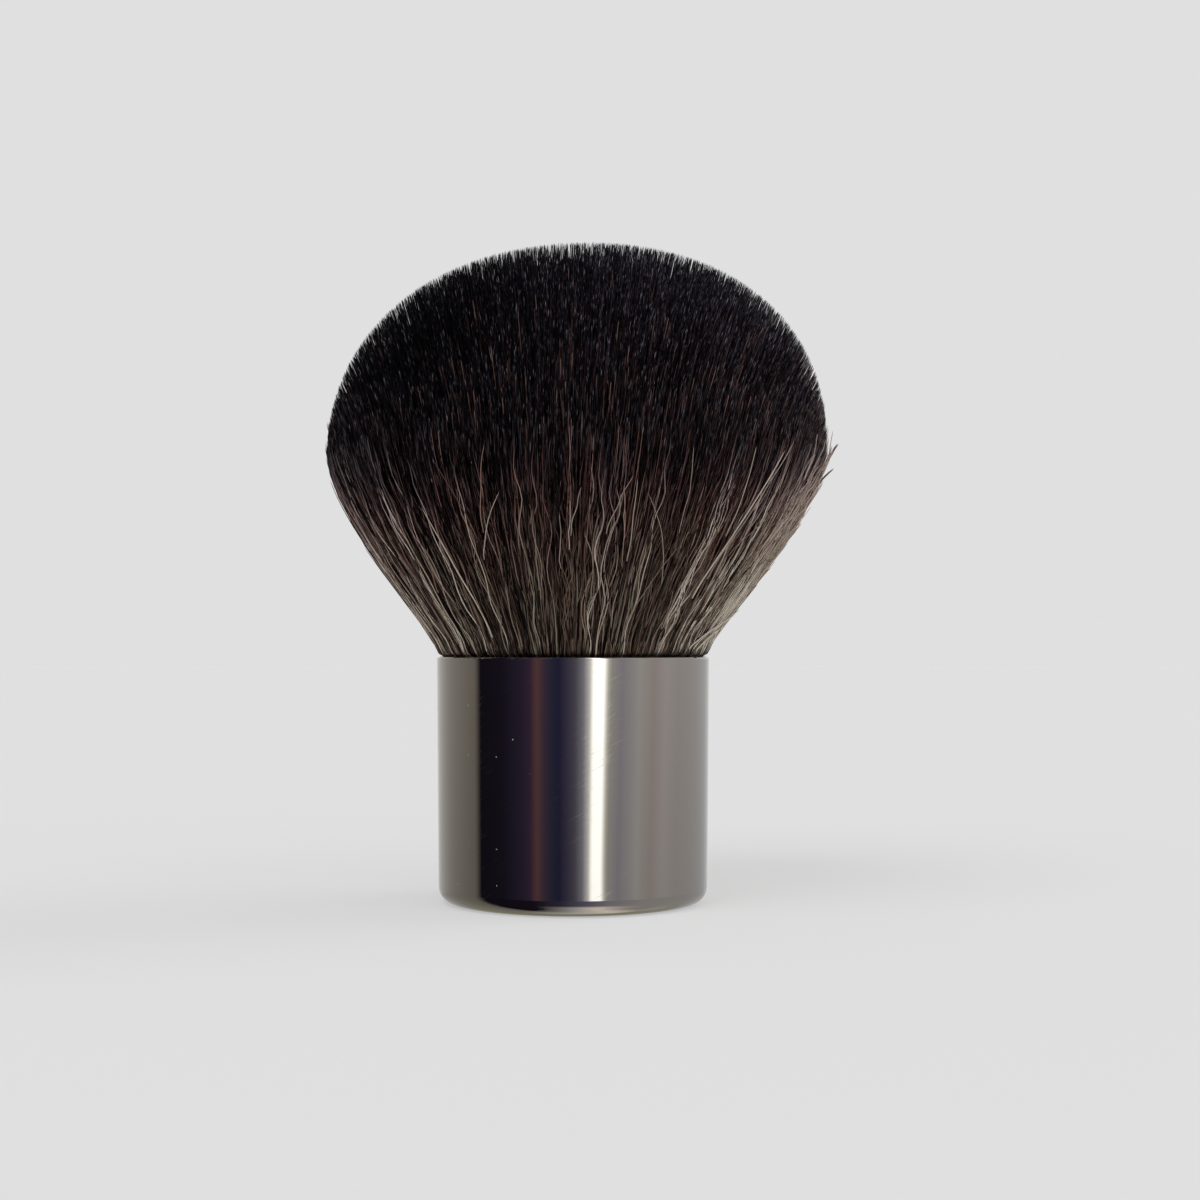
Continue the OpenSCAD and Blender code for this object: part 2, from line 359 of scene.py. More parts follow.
def thread_material():
    """Waxed polyester thread, twisted from plies: slanting plies with a dull shine."""
    material, tree = new_material("waxed_polyester_thread")
    ply, depth = 0.3 * MM, 0.04 * MM
    plies = add_node(
        tree, "ShaderNodeTexWave",
        {"bands_direction": "DIAGONAL", "Scale": WAVE_TURN / ply, "Distortion": 0.5},
        {"Vector": wrapped_place(tree)})
    finish_patterned(
        tree, plies.outputs["Fac"], [(0.2, "#cfcabd"), (0.8, "#ece8de")],
        {"Roughness": 0.55, "IOR": 1.54, "Sheen Weight": 0.2}, depth)
    return material


# Colours of the hair. A hair's family is its place along the first axis of its map: most are dark,
# some reddish, some beige, some grey-green and a few pale.
# The foot band is painted shade: the hair darkens where it enters the mouth
FLANK_FOOT = [(0.0, "#040303"), (0.6, "#0e0a09"), (0.9, "#2b2622"), (1.0, "#4a443c")]
FLANK_ROOT = [
    (0.0, "#070505"), (0.45, "#1a1311"), (0.60, "#382b26"), (0.72, "#6c594d"), (0.81, "#917c6d"),
    (0.86, "#888b7b"), (0.91, "#a08e7d"), (0.97, "#c9bcab"), (1.0, "#e6ddd0")]
FLANK_MIDDLE = [
    (0.0, "#060405"), (0.45, "#130b0b"), (0.60, "#331f1d"), (0.72, "#60433b"), (0.82, "#937266"),
    (0.90, "#9a887c"), (0.97, "#c4b2a6"), (1.0, "#e6d9ce")]
FLANK_HIGH = [
    (0.0, "#040305"), (0.50, "#0c0608"), (0.65, "#231315"), (0.78, "#50332f"), (0.88, "#7f625e"),
    (1.0, "#b7a5a0")]
FLANK_TIP = [
    (0.0, "#020104"), (0.78, "#060408"), (0.86, "#1d151b"), (0.93, "#3a2e34"), (1.0, "#675b60")]
CROWN_ROOT = [
    (0.0, "#030203"), (0.45, "#0c0809"), (0.65, "#26171a"), (0.80, "#5c3e3a"), (0.90, "#a88478"),
    (0.91, "#040305"), (1.0, "#040305")]
# The last tenth of the crown's families are dark hairs with pale ends, which make its fringe: painted
# rim light on the side that faces +X, and painted glints elsewhere
CROWN_END = [
    (0.0, "#08070a"), (0.62, "#17141b"), (0.76, "#252029"), (0.86, "#36313a"), (0.90, "#575160"),
    (0.91, "#060509"), (1.0, "#060509")]
CROWN_TIP = [
    (0.0, "#0a090c"), (0.62, "#18161c"), (0.76, "#26232b"), (0.86, "#37333b"), (0.90, "#524d59"),
    (0.91, "#4a4848"), (1.0, "#a6a4a2")]


# The spots are painted highlights. They differ from hair to hair, also where the families are
# nearly the same, and have soft edges
SPOT_SPREAD = 400.0
SPOT_EDGE = 0.12
# Families up to the first are dull, and from the second on the spots are as bright as they get
DULL, SHINY = 0.1, 0.5


def hair_material(name, bands, glint, glints, spots, rare, shine):
    """Goat hair, dyed at the ends only: pale to near black along each hair, with a soft gloss.

    bands are (end, width, ramp): each ramp of family colours gives way to the next round that
    place along the hair. Short shiny spots, where the hair's scales would catch the light, are
    painted highlights in its colour: glint is their colours along the hair, glints how much of it
    they show, spots how many there may be along a hair and rare how few there are. shine is the
    specular level of the rest.
    """
    material, tree = new_material(name)
    place = add_node(tree, "ShaderNodeUVMap", {"uv_map": BAKE_MAP})
    axes = add_node(tree, "ShaderNodeSeparateXYZ", links={0: place.outputs["UV"]})
    families = [
        add_node(tree, "ShaderNodeValToRGB", links={"Fac": axes.outputs["X"]}, stops=stops)
        for _, _, stops in bands]
    shown = families[0].outputs["Color"]
    for (end, width, _), family in zip(bands, families[1:]):
        share = add_node(
            tree, "ShaderNodeMapRange",
            {"interpolation_type": "SMOOTHSTEP", "From Min": end - width, "From Max": end + width},
            {"Value": axes.outputs["Y"]})
        shown = add_node(
            tree, "ShaderNodeMix", {"data_type": "RGBA"},
            {0: share.outputs["Result"], 6: shown, 7: family.outputs["Color"]}).outputs[2]
    spot_place = add_node(
        tree, "ShaderNodeVectorMath", {"operation": "MULTIPLY", 1: (SPOT_SPREAD, spots, 0.0)},
        {0: place.outputs["UV"]})
    noise = add_node(
        tree, "ShaderNodeTexNoise", {"Scale": 1.0, "Detail": 0.0},
        {"Vector": spot_place.outputs[0]})
    most = add_node(
        tree, "ShaderNodeMapRange", {"From Min": DULL, "From Max": SHINY, "To Max": glints},
        {"Value": axes.outputs["X"]})
    # Painted highlights: glint colours mixed into the base colour at sparse noise spots
    bright = add_node(
        tree, "ShaderNodeMapRange", {"From Min": rare, "From Max": rare + SPOT_EDGE},
        {"Value": noise.outputs["Fac"], "To Max": most.outputs["Result"]})
    shiny = add_node(
        tree, "ShaderNodeValToRGB", links={"Fac": axes.outputs["Y"]}, stops=glint)
    tone = add_node(
        tree, "ShaderNodeMix", {"data_type": "RGBA"},
        {0: bright.outputs["Result"], 6: shown, 7: shiny.outputs["Color"]})
    finish_material(
        tree, {"Roughness": 0.42, "IOR": 1.55, "Specular IOR Level": shine},
        {"Base Color": tone.outputs[2]})
    return material


def root_hair_material():
    """The undyed roots of the hair, packed in the knot, with a few painted glints."""
    return hair_material(
        "goat_hair_roots", [(1.0, 0.1, FLANK_ROOT)], [(0.0, "#a08c7c"), (1.0, "#a08c7c")],
        glints=0.3, spots=9.0, rare=0.56, shine=0.07)


def flank_material():
    """The flank's hair: painted shade where it enters the mouth, pale roots, reddish middles, black
    ends, painted glints.
    """
    return hair_material(
        "goat_hair_flank",
        [(0.014, 0.012, FLANK_FOOT), (0.36, 0.18, FLANK_ROOT), (0.60, 0.14, FLANK_MIDDLE),
         (0.80, 0.12, FLANK_HIGH), (1.0, 0.1, FLANK_TIP)],
        [(0.0, "#a08c7c"), (0.5, "#9c857c"), (0.8, "#84686a"), (1.0, "#79737c")],
        glints=0.55, spots=9.0, rare=0.56, shine=0.07)


def crown_material():
    """The dome's hair ends: dyed near black, with painted cool glints and some pale painted-light ends.
    """
    return hair_material(
        "goat_hair_crown",
        [(0.55, 0.3, CROWN_ROOT), (0.95, 0.04, CROWN_END), (1.0, 0.1, CROWN_TIP)],
        [(0.0, "#a08888"), (0.6, "#a08c94"), (1.0, "#9590a2")],
        glints=0.75, spots=15.0, rare=0.635, shine=0.03)


def packed_hair_material():
    """The hair mass behind the outer hairs: dark dye and painted shade, streaked along its length."""
    material, tree = new_material("packed_dark_hair")
    # Strands are 0.1 mm thick and drawn wider, so that they show
    strand, depth = 0.35 * MM, 0.2 * MM
    streaks = add_node(
        tree, "ShaderNodeTexNoise", {"Scale": 1 / strand, "Detail": 3.0},
        {"Vector": wrapped_place(tree, 1.0, 0.04)})
    finish_patterned(
        tree, streaks.outputs["Fac"], [(0.35, "#020202"), (0.65, "#080607")],
        {"Roughness": 0.7, "IOR": 1.55, "Specular IOR Level": 0.1}, depth)
    return material


# Mesh making

def build_mesh(name, points, triangles, places=None, smooth=True):
    """Makes an object of points (N, 3) and triangles (F, 3), with places (N, 2) as its bake map."""
    mesh = bpy.data.meshes.new(name)
    corners = triangles.ravel().astype(np.int32)
    mesh.vertices.add(len(points))
    mesh.vertices.foreach_set("co", points.astype(np.float32).ravel())
    mesh.loops.add(len(corners))
    mesh.loops.foreach_set("vertex_index", corners)
    mesh.polygons.add(len(triangles))
    mesh.polygons.foreach_set("loop_start", np.arange(0, len(corners), 3, dtype=np.int32))
    mesh.polygons.foreach_set("use_smooth", np.full(len(triangles), smooth))
    if places is not None:
        layer = mesh.uv_layers.new(name=BAKE_MAP)
        layer.uv.foreach_set("vector", places[corners].astype(np.float32).ravel())
    mesh.update(calc_edges=True)
    mesh.validate()
    thing = bpy.data.objects.new(name, mesh)
    bpy.context.scene.collection.objects.link(thing)
    return thing


def dress(thing, material, slot, *nodes):
    """Gives a new piece its material, body and material slot, and hides the CAD nodes it stands for.
    slot is not used.
    """
    thing.data.materials.append(material)
    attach(thing, BODY)
    if nodes:
        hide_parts(*nodes)


def paint_node(node, material):
    """Gives a carried-over CAD node a material."""
    node.data.materials.clear()
    node.data.materials.append(material)


def unit(vectors):
    """Vectors of length 1 along the last axis."""
    return vectors / np.maximum(np.linalg.norm(vectors, axis=-1, keepdims=True), 1e-12)


# A hair's corners lie this far apart on the two axes of its map, and the map keeps this margin
MAP_SPREAD = (0.002, 0.003)
MAP_MARGIN = 0.001


def hair_map(family, along, rings, sides):
    """Places on the bake map of hairs, which keeps each of them narrow but never flat."""
    offset = np.zeros((sides, 2))
    offset[:, 0] = (np.arange(sides) - (sides - 1) / 2) * MAP_SPREAD[0]
    offset[1::2, 1] = MAP_SPREAD[1]
    place = np.empty((len(family), rings * sides + 1, 2))
    place[:, -1, 0] = family
    place[:, -1, 1] = along[:, -1]
    ring_place = np.stack([np.repeat(family[:, None], rings, 1), along[:, :rings]], axis=-1)
    place[:, :-1] = (ring_place[:, :, None] + offset).reshape(len(family), rings * sides, 2)
    return np.clip(place, MAP_MARGIN, 1 - MAP_MARGIN)


def hair_faces(rings, sides):
    """Triangles of one hair: a flat foot, its rings and a pointed tip."""
    faces = [(0, side + 1, side) for side in range(1, sides - 1)]
    for ring in range(rings - 1):
        for side in range(sides):
            a = ring * sides + side
            b = ring * sides + (side + 1) % sides
            faces += [(a, b, b + sides), (a, b + sides, a + sides)]
    last = (rings - 1) * sides
    faces += [(last + side, last + (side + 1) % sides, rings * sides) for side in range(sides)]
    return np.array(faces)


def sweep_hairs(name, paths, radii, family, along, spin, sides=3):
    """One mesh of closed, pointed hairs.

    paths (N, K + 1, 3) are K ring centres and a tip, radii (N, K) their rings, family (N) the
    hair's colour family, along (N, K + 1) the share of its length and spin (N) its twist.
    """
    count, rings = radii.shape
    tangent = unit(np.gradient(paths, axis=1))[:, :rings]
    outward = paths[:, :rings] * [1.0, 1.0, 0.0]
    across = unit(np.cross(tangent, outward))
    normal = np.cross(across, tangent)
    turn = spin[:, None] + np.arange(sides) * 2 * math.pi / sides
    corner = (
        np.cos(turn)[:, None, :, None] * normal[:, :, None]
        + np.sin(turn)[:, None, :, None] * across[:, :, None])
    skin = paths[:, :rings, None] + corner * radii[:, :, None, None]
    points = np.concatenate([skin.reshape(count, rings * sides, 3), paths[:, rings:]], axis=1)
    first = np.arange(count)[:, None, None] * (rings * sides + 1)
    triangles = (hair_faces(rings, sides)[None] + first).reshape(-1, 3)
    places = hair_map(family, along, rings, sides)
    return build_mesh(name, points.reshape(-1, 3), triangles, places.reshape(-1, 2))


def tube_faces(rings, sides):
    """Triangles of a closed tube: rings of points, then the points that close its two ends."""
    side = np.arange(sides)
    after = (side + 1) % sides
    low_end = rings * sides
    faces = [np.stack([np.full(sides, low_end), after, side], axis=1)]
    for ring in range(rings - 1):
        a, b = side + ring * sides, after + ring * sides
        faces += [np.stack([a, b, b + sides], axis=1), np.stack([a, b + sides, a + sides], axis=1)]
    top = (rings - 1) * sides
    faces.append(np.stack([side + top, after + top, np.full(sides, low_end + 1)], axis=1))
    return np.concatenate(faces)


def sweep_tube(name, path, radius, sides):
    """A closed round tube along a path that climbs slowly round the axis."""
    tangent = unit(np.gradient(path, axis=0))
    outward = unit(path * [1.0, 1.0, 0.0])
    upward = np.cross(tangent, outward)
    turn = np.arange(sides) * 2 * math.pi / sides
    skin = path[:, None] + radius * (
        np.cos(turn)[None, :, None] * outward[:, None]
        + np.sin(turn)[None, :, None] * upward[:, None])
    points = np.concatenate([skin.reshape(-1, 3), path[:1], path[-1:]])
    return build_mesh(name, points, tube_faces(len(path), sides))


def lathe(name, radius, height, ripple, lean):
    """A closed turned piece. radius, height and lean (N) start and end on the axis.

    ripple (N - 2, M) is added to the rings' radii, and lean moves each level towards +X.
    """
    around = ripple.shape[1]
    turn = np.arange(around) * 2 * math.pi / around
    swept = radius[1:-1, None] + ripple
    rings = np.stack(
        [swept * np.cos(turn) + lean[1:-1, None], swept * np.sin(turn),
         np.repeat(height[1:-1, None], around, 1)], axis=-1)
    ends = [(lean[end], 0.0, height[end]) for end in (0, -1)]
    points = np.concatenate([rings.reshape(-1, 3), ends])
    return build_mesh(name, points, tube_faces(len(swept), around))


# Paths of the hair

# Bottom of the hair inside the mouth, below the rim
ROOT_DEPTH = 2.6 * MM
# Where the curve of the outermost hairs is pulled to: a share of their spread and of their rise
PULL_OUT = 0.94
PULL_UP = 0.72
# How fast hairs further in straighten
STRAIGHTEN = 1.0
# Exponent of the dome's outline: 1 for an ellipse, less for a fuller one
FULLNESS = 0.9
# How far the hair swells over the ferrule's lip, and the height of that swell
LIP_SWELL = 0.4 * MM
LIP_RISE = 0.5 * MM
# How far the hair is drawn in above the lip, before it fans out, and the height of that waist
WAIST = 0.3 * MM
WAIST_RISE = 3.5 * MM
# Waves that gather the hair into locks: how many, how often they turn from the middle of the mouth to
# its edge, in radians, and how strongly they gather it
LOCK_WAVES = 9
LOCK_TURNS = (40.0, 105.0)
LOCK_GATHER = 1.1


def tip_height(head, share):
    """Height of the dome above the rim, over that share."""
    return head.shoulder_h + head.dome_h * np.cos(share * math.pi / 2) ** FULLNESS


def flank_curve(head, share, t):
    """Radius and height above the rim of a flank hair, at t from 0 at the rim to 1 at its tip.

    share is the hair's place across the mouth, from 0 in the middle to 1 at the edge.
    """
    foot_r = share * head.mouth_r
    tip_r = head.head_r * np.sin(share * math.pi / 2) ** FULLNESS
    tip_z = tip_height(head, share)
    pull_r = foot_r + np.maximum(PULL_OUT - STRAIGHTEN * (1 - share), PULL_UP) * (tip_r - foot_r)
    pull_z = PULL_UP * tip_z
    near, middle, far = (1 - t) ** 2, 2 * t * (1 - t), t ** 2
    height = middle * pull_z + far * tip_z
    swell = LIP_SWELL * height / LIP_RISE * np.exp(1 - height / LIP_RISE)
    waist = WAIST * height / WAIST_RISE * np.exp(1 - height / WAIST_RISE)
    return near * foot_r + middle * pull_r + far * tip_r + share ** 8 * (swell - waist), height


def place_before_tip(head, share, drop):
    """Place along a hair's curve that is that much lower than its tip."""
    left = drop / tip_height(head, share)
    flat, bend = 1 - PULL_UP, 2 * PULL_UP - 1
    return 1 - (np.sqrt(flat ** 2 + bend * left) - flat) / bend


def gather(head, azimuth, share, fineness=1.0, strength=LOCK_GATHER):
    """Moves hairs together into locks. Returns azimuth, share and crest: below 0 between locks."""
    rng = np.random.default_rng(head.seed)
    x, y = share * np.cos(azimuth), share * np.sin(azimuth)
    crest, step_x, step_y = 0.0, 0.0, 0.0
    for _ in range(LOCK_WAVES):
        heading, phase = rng.uniform(0, 2 * math.pi, 2)
        turns = fineness * rng.uniform(*LOCK_TURNS)
        turn = turns * (x * math.cos(heading) + y * math.sin(heading)) + phase
        crest = crest + np.sin(turn)
        step_x = step_x + np.cos(turn) * math.cos(heading) / turns
        step_y = step_y + np.cos(turn) * math.sin(heading) / turns
    scale = strength * math.sqrt(2 / LOCK_WAVES)
    x, y = x + scale * step_x, y + scale * step_y
    share = np.hypot(x, y)
    return np.arctan2(y, x), np.minimum(share, 2 - share), crest * math.sqrt(2 / LOCK_WAVES)


def side_light(azimuth, towards, narrow):
    """How far hairs lie on the side of the head that faces that azimuth, from 0 to 1."""
    return np.clip(np.cos(azimuth - towards), 0, 1) ** narrow


def place_hairs(head, radius, height, azimuth, sideways=0.0):
    """Points in space of hairs given by radius, height above the rim, azimuth and side shift."""
    lean = head.head_lean * (height / (head.shoulder_h + head.dome_h)) ** 2
    x = radius * np.cos(azimuth) - sideways * np.sin(azimuth) + np.where(height > 0, lean, 0.0)
    y = radius * np.sin(azimuth) + sideways * np.cos(azimuth)
    return np.stack([x, y, RIM_Z + height], axis=-1)


# A flank hair's rings: where the one inside the mouth stands in its course, how much closer together
# they are near the rim, and where the last one before the tip is
RING_BELOW = -0.1
RING_CROWDING = 1.4
LAST_RING = 0.95
# How far the outermost hair is drawn in inside the mouth
MOUTH_EASE = 0.2 * MM
# The two slow sines of a wavy hair, each (size, pitch) as a share of the hair's own
SINES = ((1.0, 1.0), (0.25, 0.5))
# How pitch and size vary from hair to hair
PITCH_RANGE = (0.8, 1.6)
SWING_RANGE = (0.25, 1.0)
# Waves grow from the rim up to the first place, and fade over the last part of the hair
WAVE_GROWN = 0.12
WAVE_END = 1.05
WAVE_FADE = 0.5
# Length of a flank hair as a share of the shoulder's height
FLANK_SPAN = 1.25


def flank_times(rings):
    """Ring places along a flank hair: one below the rim, the others from the rim up, and the tip."""
    above = np.linspace(0.0, 1.0, rings - 1) ** RING_CROWDING * LAST_RING
    return np.concatenate([[RING_BELOW], above, [1.0]])


def flank_paths(head, share, azimuth, shorter, rings, swing, bulge):
    """Paths of flank hairs. swing and bulge (N, rings + 1) shift them sideways and outwards."""
    times = flank_times(rings)
    end = place_before_tip(head, share, shorter)[:, None]
    radius, height = flank_curve(head, share[:, None], np.maximum(times, 0.0)[None, :] * end)
    inside = times < 0
    height[:, inside] = -ROOT_DEPTH
    radius[:, inside] = (share * (head.mouth_r - MOUTH_EASE))[:, None]
    return place_hairs(head, radius + bulge, height, azimuth[:, None], swing)


def waves(rng, count, times, span, size, wave_length):
    """Side shifts of wavy hairs of that span: two slow sines each, calm at both ends."""
    total = np.zeros((count, len(times)))
    for share, pitch_share in SINES:
        pitch = wave_length * pitch_share * rng.uniform(*PITCH_RANGE, (count, 1))
        phase = rng.uniform(0, 2 * math.pi, (count, 1))
        total += share * np.sin(2 * math.pi * span * times[None, :] / pitch + phase)
    calm = np.clip(times / WAVE_GROWN, 0, 1) * np.clip((WAVE_END - times) / WAVE_FADE, 0, 1)
    return total * calm[None, :] * size * rng.uniform(*SWING_RANGE, (count, 1))


def tuft_draws(head, tuft, layer):
    """Random draws of one layer of a tuft's hair."""
    return np.random.default_rng(head.seed + 10 * tuft + layer)


def tuft_azimuths(rng, tuft, count):
    """Random azimuths within a tuft's sixth of the head."""
    return (tuft - 1 + rng.uniform(0, 1, count)) * 2 * math.pi / TUFTS


def spins(rng, count):
    """Random twists of hairs, in radians."""
    return rng.uniform(0, 2 * math.pi, count)


# Azimuths that the head's sides face, and how narrow each is. The right is +X, and its edge narrower
# The right side and its edge carry painted rim light: lighter families that darken later
RIGHT_SIDE = (math.radians(-12), 2.2)
RIGHT_EDGE = (0.0, 12)
LEFT_SIDE = (math.pi, 4)
# How much this differs from hair to hair, and how much the edge adds to the right side
SIDE_RANGE = (0.2, 1.0)
EDGE_GAIN = 1.5
# How much lighter the hairs of either side are, how much later they darken, and the families' range
RIGHT_LIGHTER, LEFT_LIGHTER = 0.40, 0.26
RIGHT_LATER, LEFT_LATER = 0.40, -0.45
FAMILIES = (0.01, 0.985)
# How thickness varies from hair to hair, and how much thinner a flank hair is at its tip
THICKNESS_RANGE = (0.75, 1.15)
TIP_THINNING = 0.55
# How unevenly hairs darken, the most that one darkens early, and the range of colour places
UNEVEN = 0.8
EARLIEST = -0.95
PLACES = (0.004, 0.996)


def side_tones(rng, azimuth, family):
    """Lighter families on the head's two sides, and how much later the hairs there darken: on the right,
    painted rim light.
    """
    right = side_light(azimuth, *RIGHT_SIDE) * rng.uniform(*SIDE_RANGE, len(azimuth))
    left = side_light(azimuth, *LEFT_SIDE) * rng.uniform(*SIDE_RANGE, len(azimuth))
    # Painted rim light, strongest at the right edge
    right = right + EDGE_GAIN * side_light(azimuth, *RIGHT_EDGE)
    lighter = np.clip(family + RIGHT_LIGHTER * right + LEFT_LIGHTER * left, *FAMILIES)
    return lighter, RIGHT_LATER * right + LEFT_LATER * left


def flank_radii(rng, count, rings, diameter):
    """Ring radii of flank hairs: even, thinner towards the tip."""
    t = np.clip(flank_times(rings)[:rings], 0, 1)
    thin = 1 - TIP_THINNING * t ** 3
    return diameter / 2 * rng.uniform(*THICKNESS_RANGE, (count, 1)) * thin[None, :]


def hair_places(rng, count, rings, late):
    """Places along each hair for its colours, so that hairs darken at uneven heights."""
    t = np.clip(flank_times(rings), 0, 1)[None, :]
    shift = np.maximum(rng.uniform(-UNEVEN, UNEVEN, count) - late, EARLIEST)
    return np.clip(t + shift[:, None] * t * (1 - t), *PLACES)


def lay_flank(name, tuft, material, rng, paths, radii, azimuth, family):
    """Lays a tuft's flank hairs, toned by the side of the head that they are on."""
    family, late = side_tones(rng, azimuth, family)
    along = hair_places(rng, *radii.shape, late)
    thing = sweep_hairs(name, paths, radii, family, along, spins(rng, len(family)))
    dress(thing, material, "hair", f"bristle_tuft_{tuft}")


class KabukiOperator:
    """What every step of the brush shares."""

    bl_options = {"REGISTER", "UNDO"}

    @staticmethod
    def settings(context):
        return context.scene.kabuki_brush


class KABUKI_OT_ferrule(KabukiOperator, bpy.types.Operator):
    """Plates the drawn ferrule with black chrome."""

    bl_idname = "kabuki.ferrule"
    bl_label = "Ferrule"

    def execute(self, context):
        paint_node(
            frame["nodes"]["ferrule_shell"], black_chrome_material(self.settings(context).metal))
        return {"FINISHED"}


class KABUKI_OT_base(KabukiOperator, bpy.types.Operator):
    """Finishes the steel weight in the ferrule's base and the adhesive under it."""

    bl_idname = "kabuki.base"
    bl_label = "Base weight"

    def execute(self, context):
        paint_node(frame["nodes"]["base_weight"], steel_material())
        paint_node(
            frame["nodes"]["weight_adhesive"],
            resin_material("contact_adhesive", "#b59a5c", "#d8c48e", roughness=0.35, bubble=0.6 * MM))
        return {"FINISHED"}


class KABUKI_OT_knot(KabukiOperator, bpy.types.Operator):
    """Finishes the liner, glue plug and band, winds the thread and bundles the hair's roots."""

    bl_idname = "kabuki.knot"
    bl_label = "Knot"

    # Turns of the thread, how full each turn's height is, and the steps and sides that draw it
    TURNS, FULL, STEPS, SIDES = 6, 0.96, 72, 8
    # Drawn roots: how many and how thick, with the sides and rings that draw them
    ROOTS, ROOT_R, ROOT_SIDES, ROOT_RINGS = 420, 0.3 * MM, 5, 9
    # Wall of the band with its play, how suddenly the roots flare above the thread, and how far
    # they waver round the axis
    BAND_WALL, FLARE, WAVER = 0.55 * MM, 1.5, 0.01
    ROOT_SEED = 3

    def execute(self, context):
        nodes = frame["nodes"]
        paint_node(nodes["liner_cup"], moulded_material())
        paint_node(
            nodes["glue_plug"],
            resin_material(
                "cast_epoxy", "#a8772c", "#cfa65a", roughness=0.18, bubble=1.1 * MM))
        paint_node(nodes["knot_band"], aluminium_material())
        self.wind_thread()
        self.bundle_roots()
        return {"FINISHED"}

    def wind_thread(self):
        """Turns of thread, side by side, in one helix."""
        wound = THREAD_HIGH.z - THREAD_LOW.z
        thread_r = wound / self.TURNS / 2 * self.FULL
        wind_r = THREAD_HIGH.x - thread_r
        t = np.linspace(0, 1, (self.TURNS - 1) * self.STEPS + 1)
        turn = t * (self.TURNS - 1) * 2 * math.pi
        rise = THREAD_LOW.z + thread_r + t * (wound - 2 * thread_r)
        path = np.stack([wind_r * np.cos(turn), wind_r * np.sin(turn), rise], axis=-1)
        thing = sweep_tube("binding_thread_winding", path, thread_r, self.SIDES)
        dress(thing, thread_material(), "thread", "binding_thread")

    def bundle_roots(self):
        """Packed hair roots in the knot, which flare above the binding."""
        rng = np.random.default_rng(self.ROOT_SEED)
        knot_r = BAND_R - self.BAND_WALL
        number = np.arange(self.ROOTS)
        share = np.sqrt((number + 0.5) / self.ROOTS)
        azimuth = number * math.pi * (3 - math.sqrt(5))
        t = np.linspace(0, 1, self.ROOT_RINGS + 1)[None, :]
        root_z = ROOT_HIGH.z - ROOT_LOW.z
        flare_z = (THREAD_HIGH.z - ROOT_LOW.z) / root_z
        flare = np.clip((t - flare_z) / (1 - flare_z), 0, 1) ** self.FLARE
        radius = share[:, None] * (knot_r - self.ROOT_R + flare * (ROOT_HIGH.x - knot_r))
        angle = azimuth[:, None] + rng.uniform(-self.WAVER, self.WAVER, radius.shape)
        height = ROOT_LOW.z + t * root_z + 0 * radius
        paths = np.stack([radius * np.cos(angle), radius * np.sin(angle), height], axis=-1)
        thing = sweep_hairs(
            "hair_root_bundle", paths, np.full((self.ROOTS, self.ROOT_RINGS), self.ROOT_R),
            rng.uniform(0.02, 0.98, self.ROOTS), np.repeat(t, self.ROOTS, 0) * 0.98 + 0.01,
            spins(rng, self.ROOTS), self.ROOT_SIDES)
        dress(thing, root_hair_material(), "hair_root", "hair_root")


class KABUKI_OT_hair_mass(KabukiOperator, bpy.types.Operator):
    """Fills the head with its packed inner hair, ridged along the strands."""

    bl_idname = "kabuki.hair_mass"
    bl_label = "Inner hair"

    # Depth of the mass below the head's surface, on the flank and under the dome
    FLANK_SUNK, DOME_SUNK = 2.2 * MM, 4.2 * MM
    # Share of the flank's depth at the rim, and the height in which that share would grow by 1
    RIM_SUNK, SUNK_RISE = 0.4, 6 * MM
    # How far it is drawn in below the rim
    FOOT_EASE = 0.4 * MM
    # Where the flank's course gives way to the dome, and the step up to it
    FLANK_END, DOME_STEP = 0.86, 1 * MM
    FLANK_LEVELS, DOME_LEVELS, AROUND = 26, 22, 540
    # Size of the ridges, and the height over which they grow
    RIDGE, RIDGE_RISE = 0.22 * MM, 5 * MM

    def execute(self, context):
        head = self.settings(context).head
        full_height = head.shoulder_h + head.dome_h
        flank_r, flank_z = flank_curve(head, 1.0, np.linspace(0, self.FLANK_END, self.FLANK_LEVELS))
        flank_r = flank_r - self.FLANK_SUNK * np.clip(
            self.RIM_SUNK + flank_z / self.SUNK_RISE, 0, 1)
        turn = np.linspace(0, math.pi / 2, self.DOME_LEVELS)[1:-1]
        dome_low, dome_top = flank_z[-1] + self.DOME_STEP, full_height - self.DOME_SUNK
        dome_r = (head.head_r - self.DOME_SUNK) * np.cos(turn) ** FULLNESS
        dome_z = dome_low + (dome_top - dome_low) * np.sin(turn) ** FULLNESS
        radius = np.concatenate([[0.0, flank_r[0] - self.FOOT_EASE], flank_r, dome_r, [0.0]])
        above = np.concatenate([[-ROOT_DEPTH, -ROOT_DEPTH], flank_z, dome_z, [dome_top]])
        ridge = np.random.default_rng(head.seed).uniform(-1, 1, self.AROUND)
        grown = np.clip((above[1:-1] + ROOT_DEPTH) / self.RIDGE_RISE, 0, 1)
        thing = lathe(
            "hair_inner_mass", radius, RIM_Z + above,
            self.RIDGE * grown[:, None] * ridge[None, :],
            head.head_lean * np.clip(above / full_height, 0, 1) ** 2)
        dress(thing, packed_hair_material(), "hair")
        return {"FINISHED"}


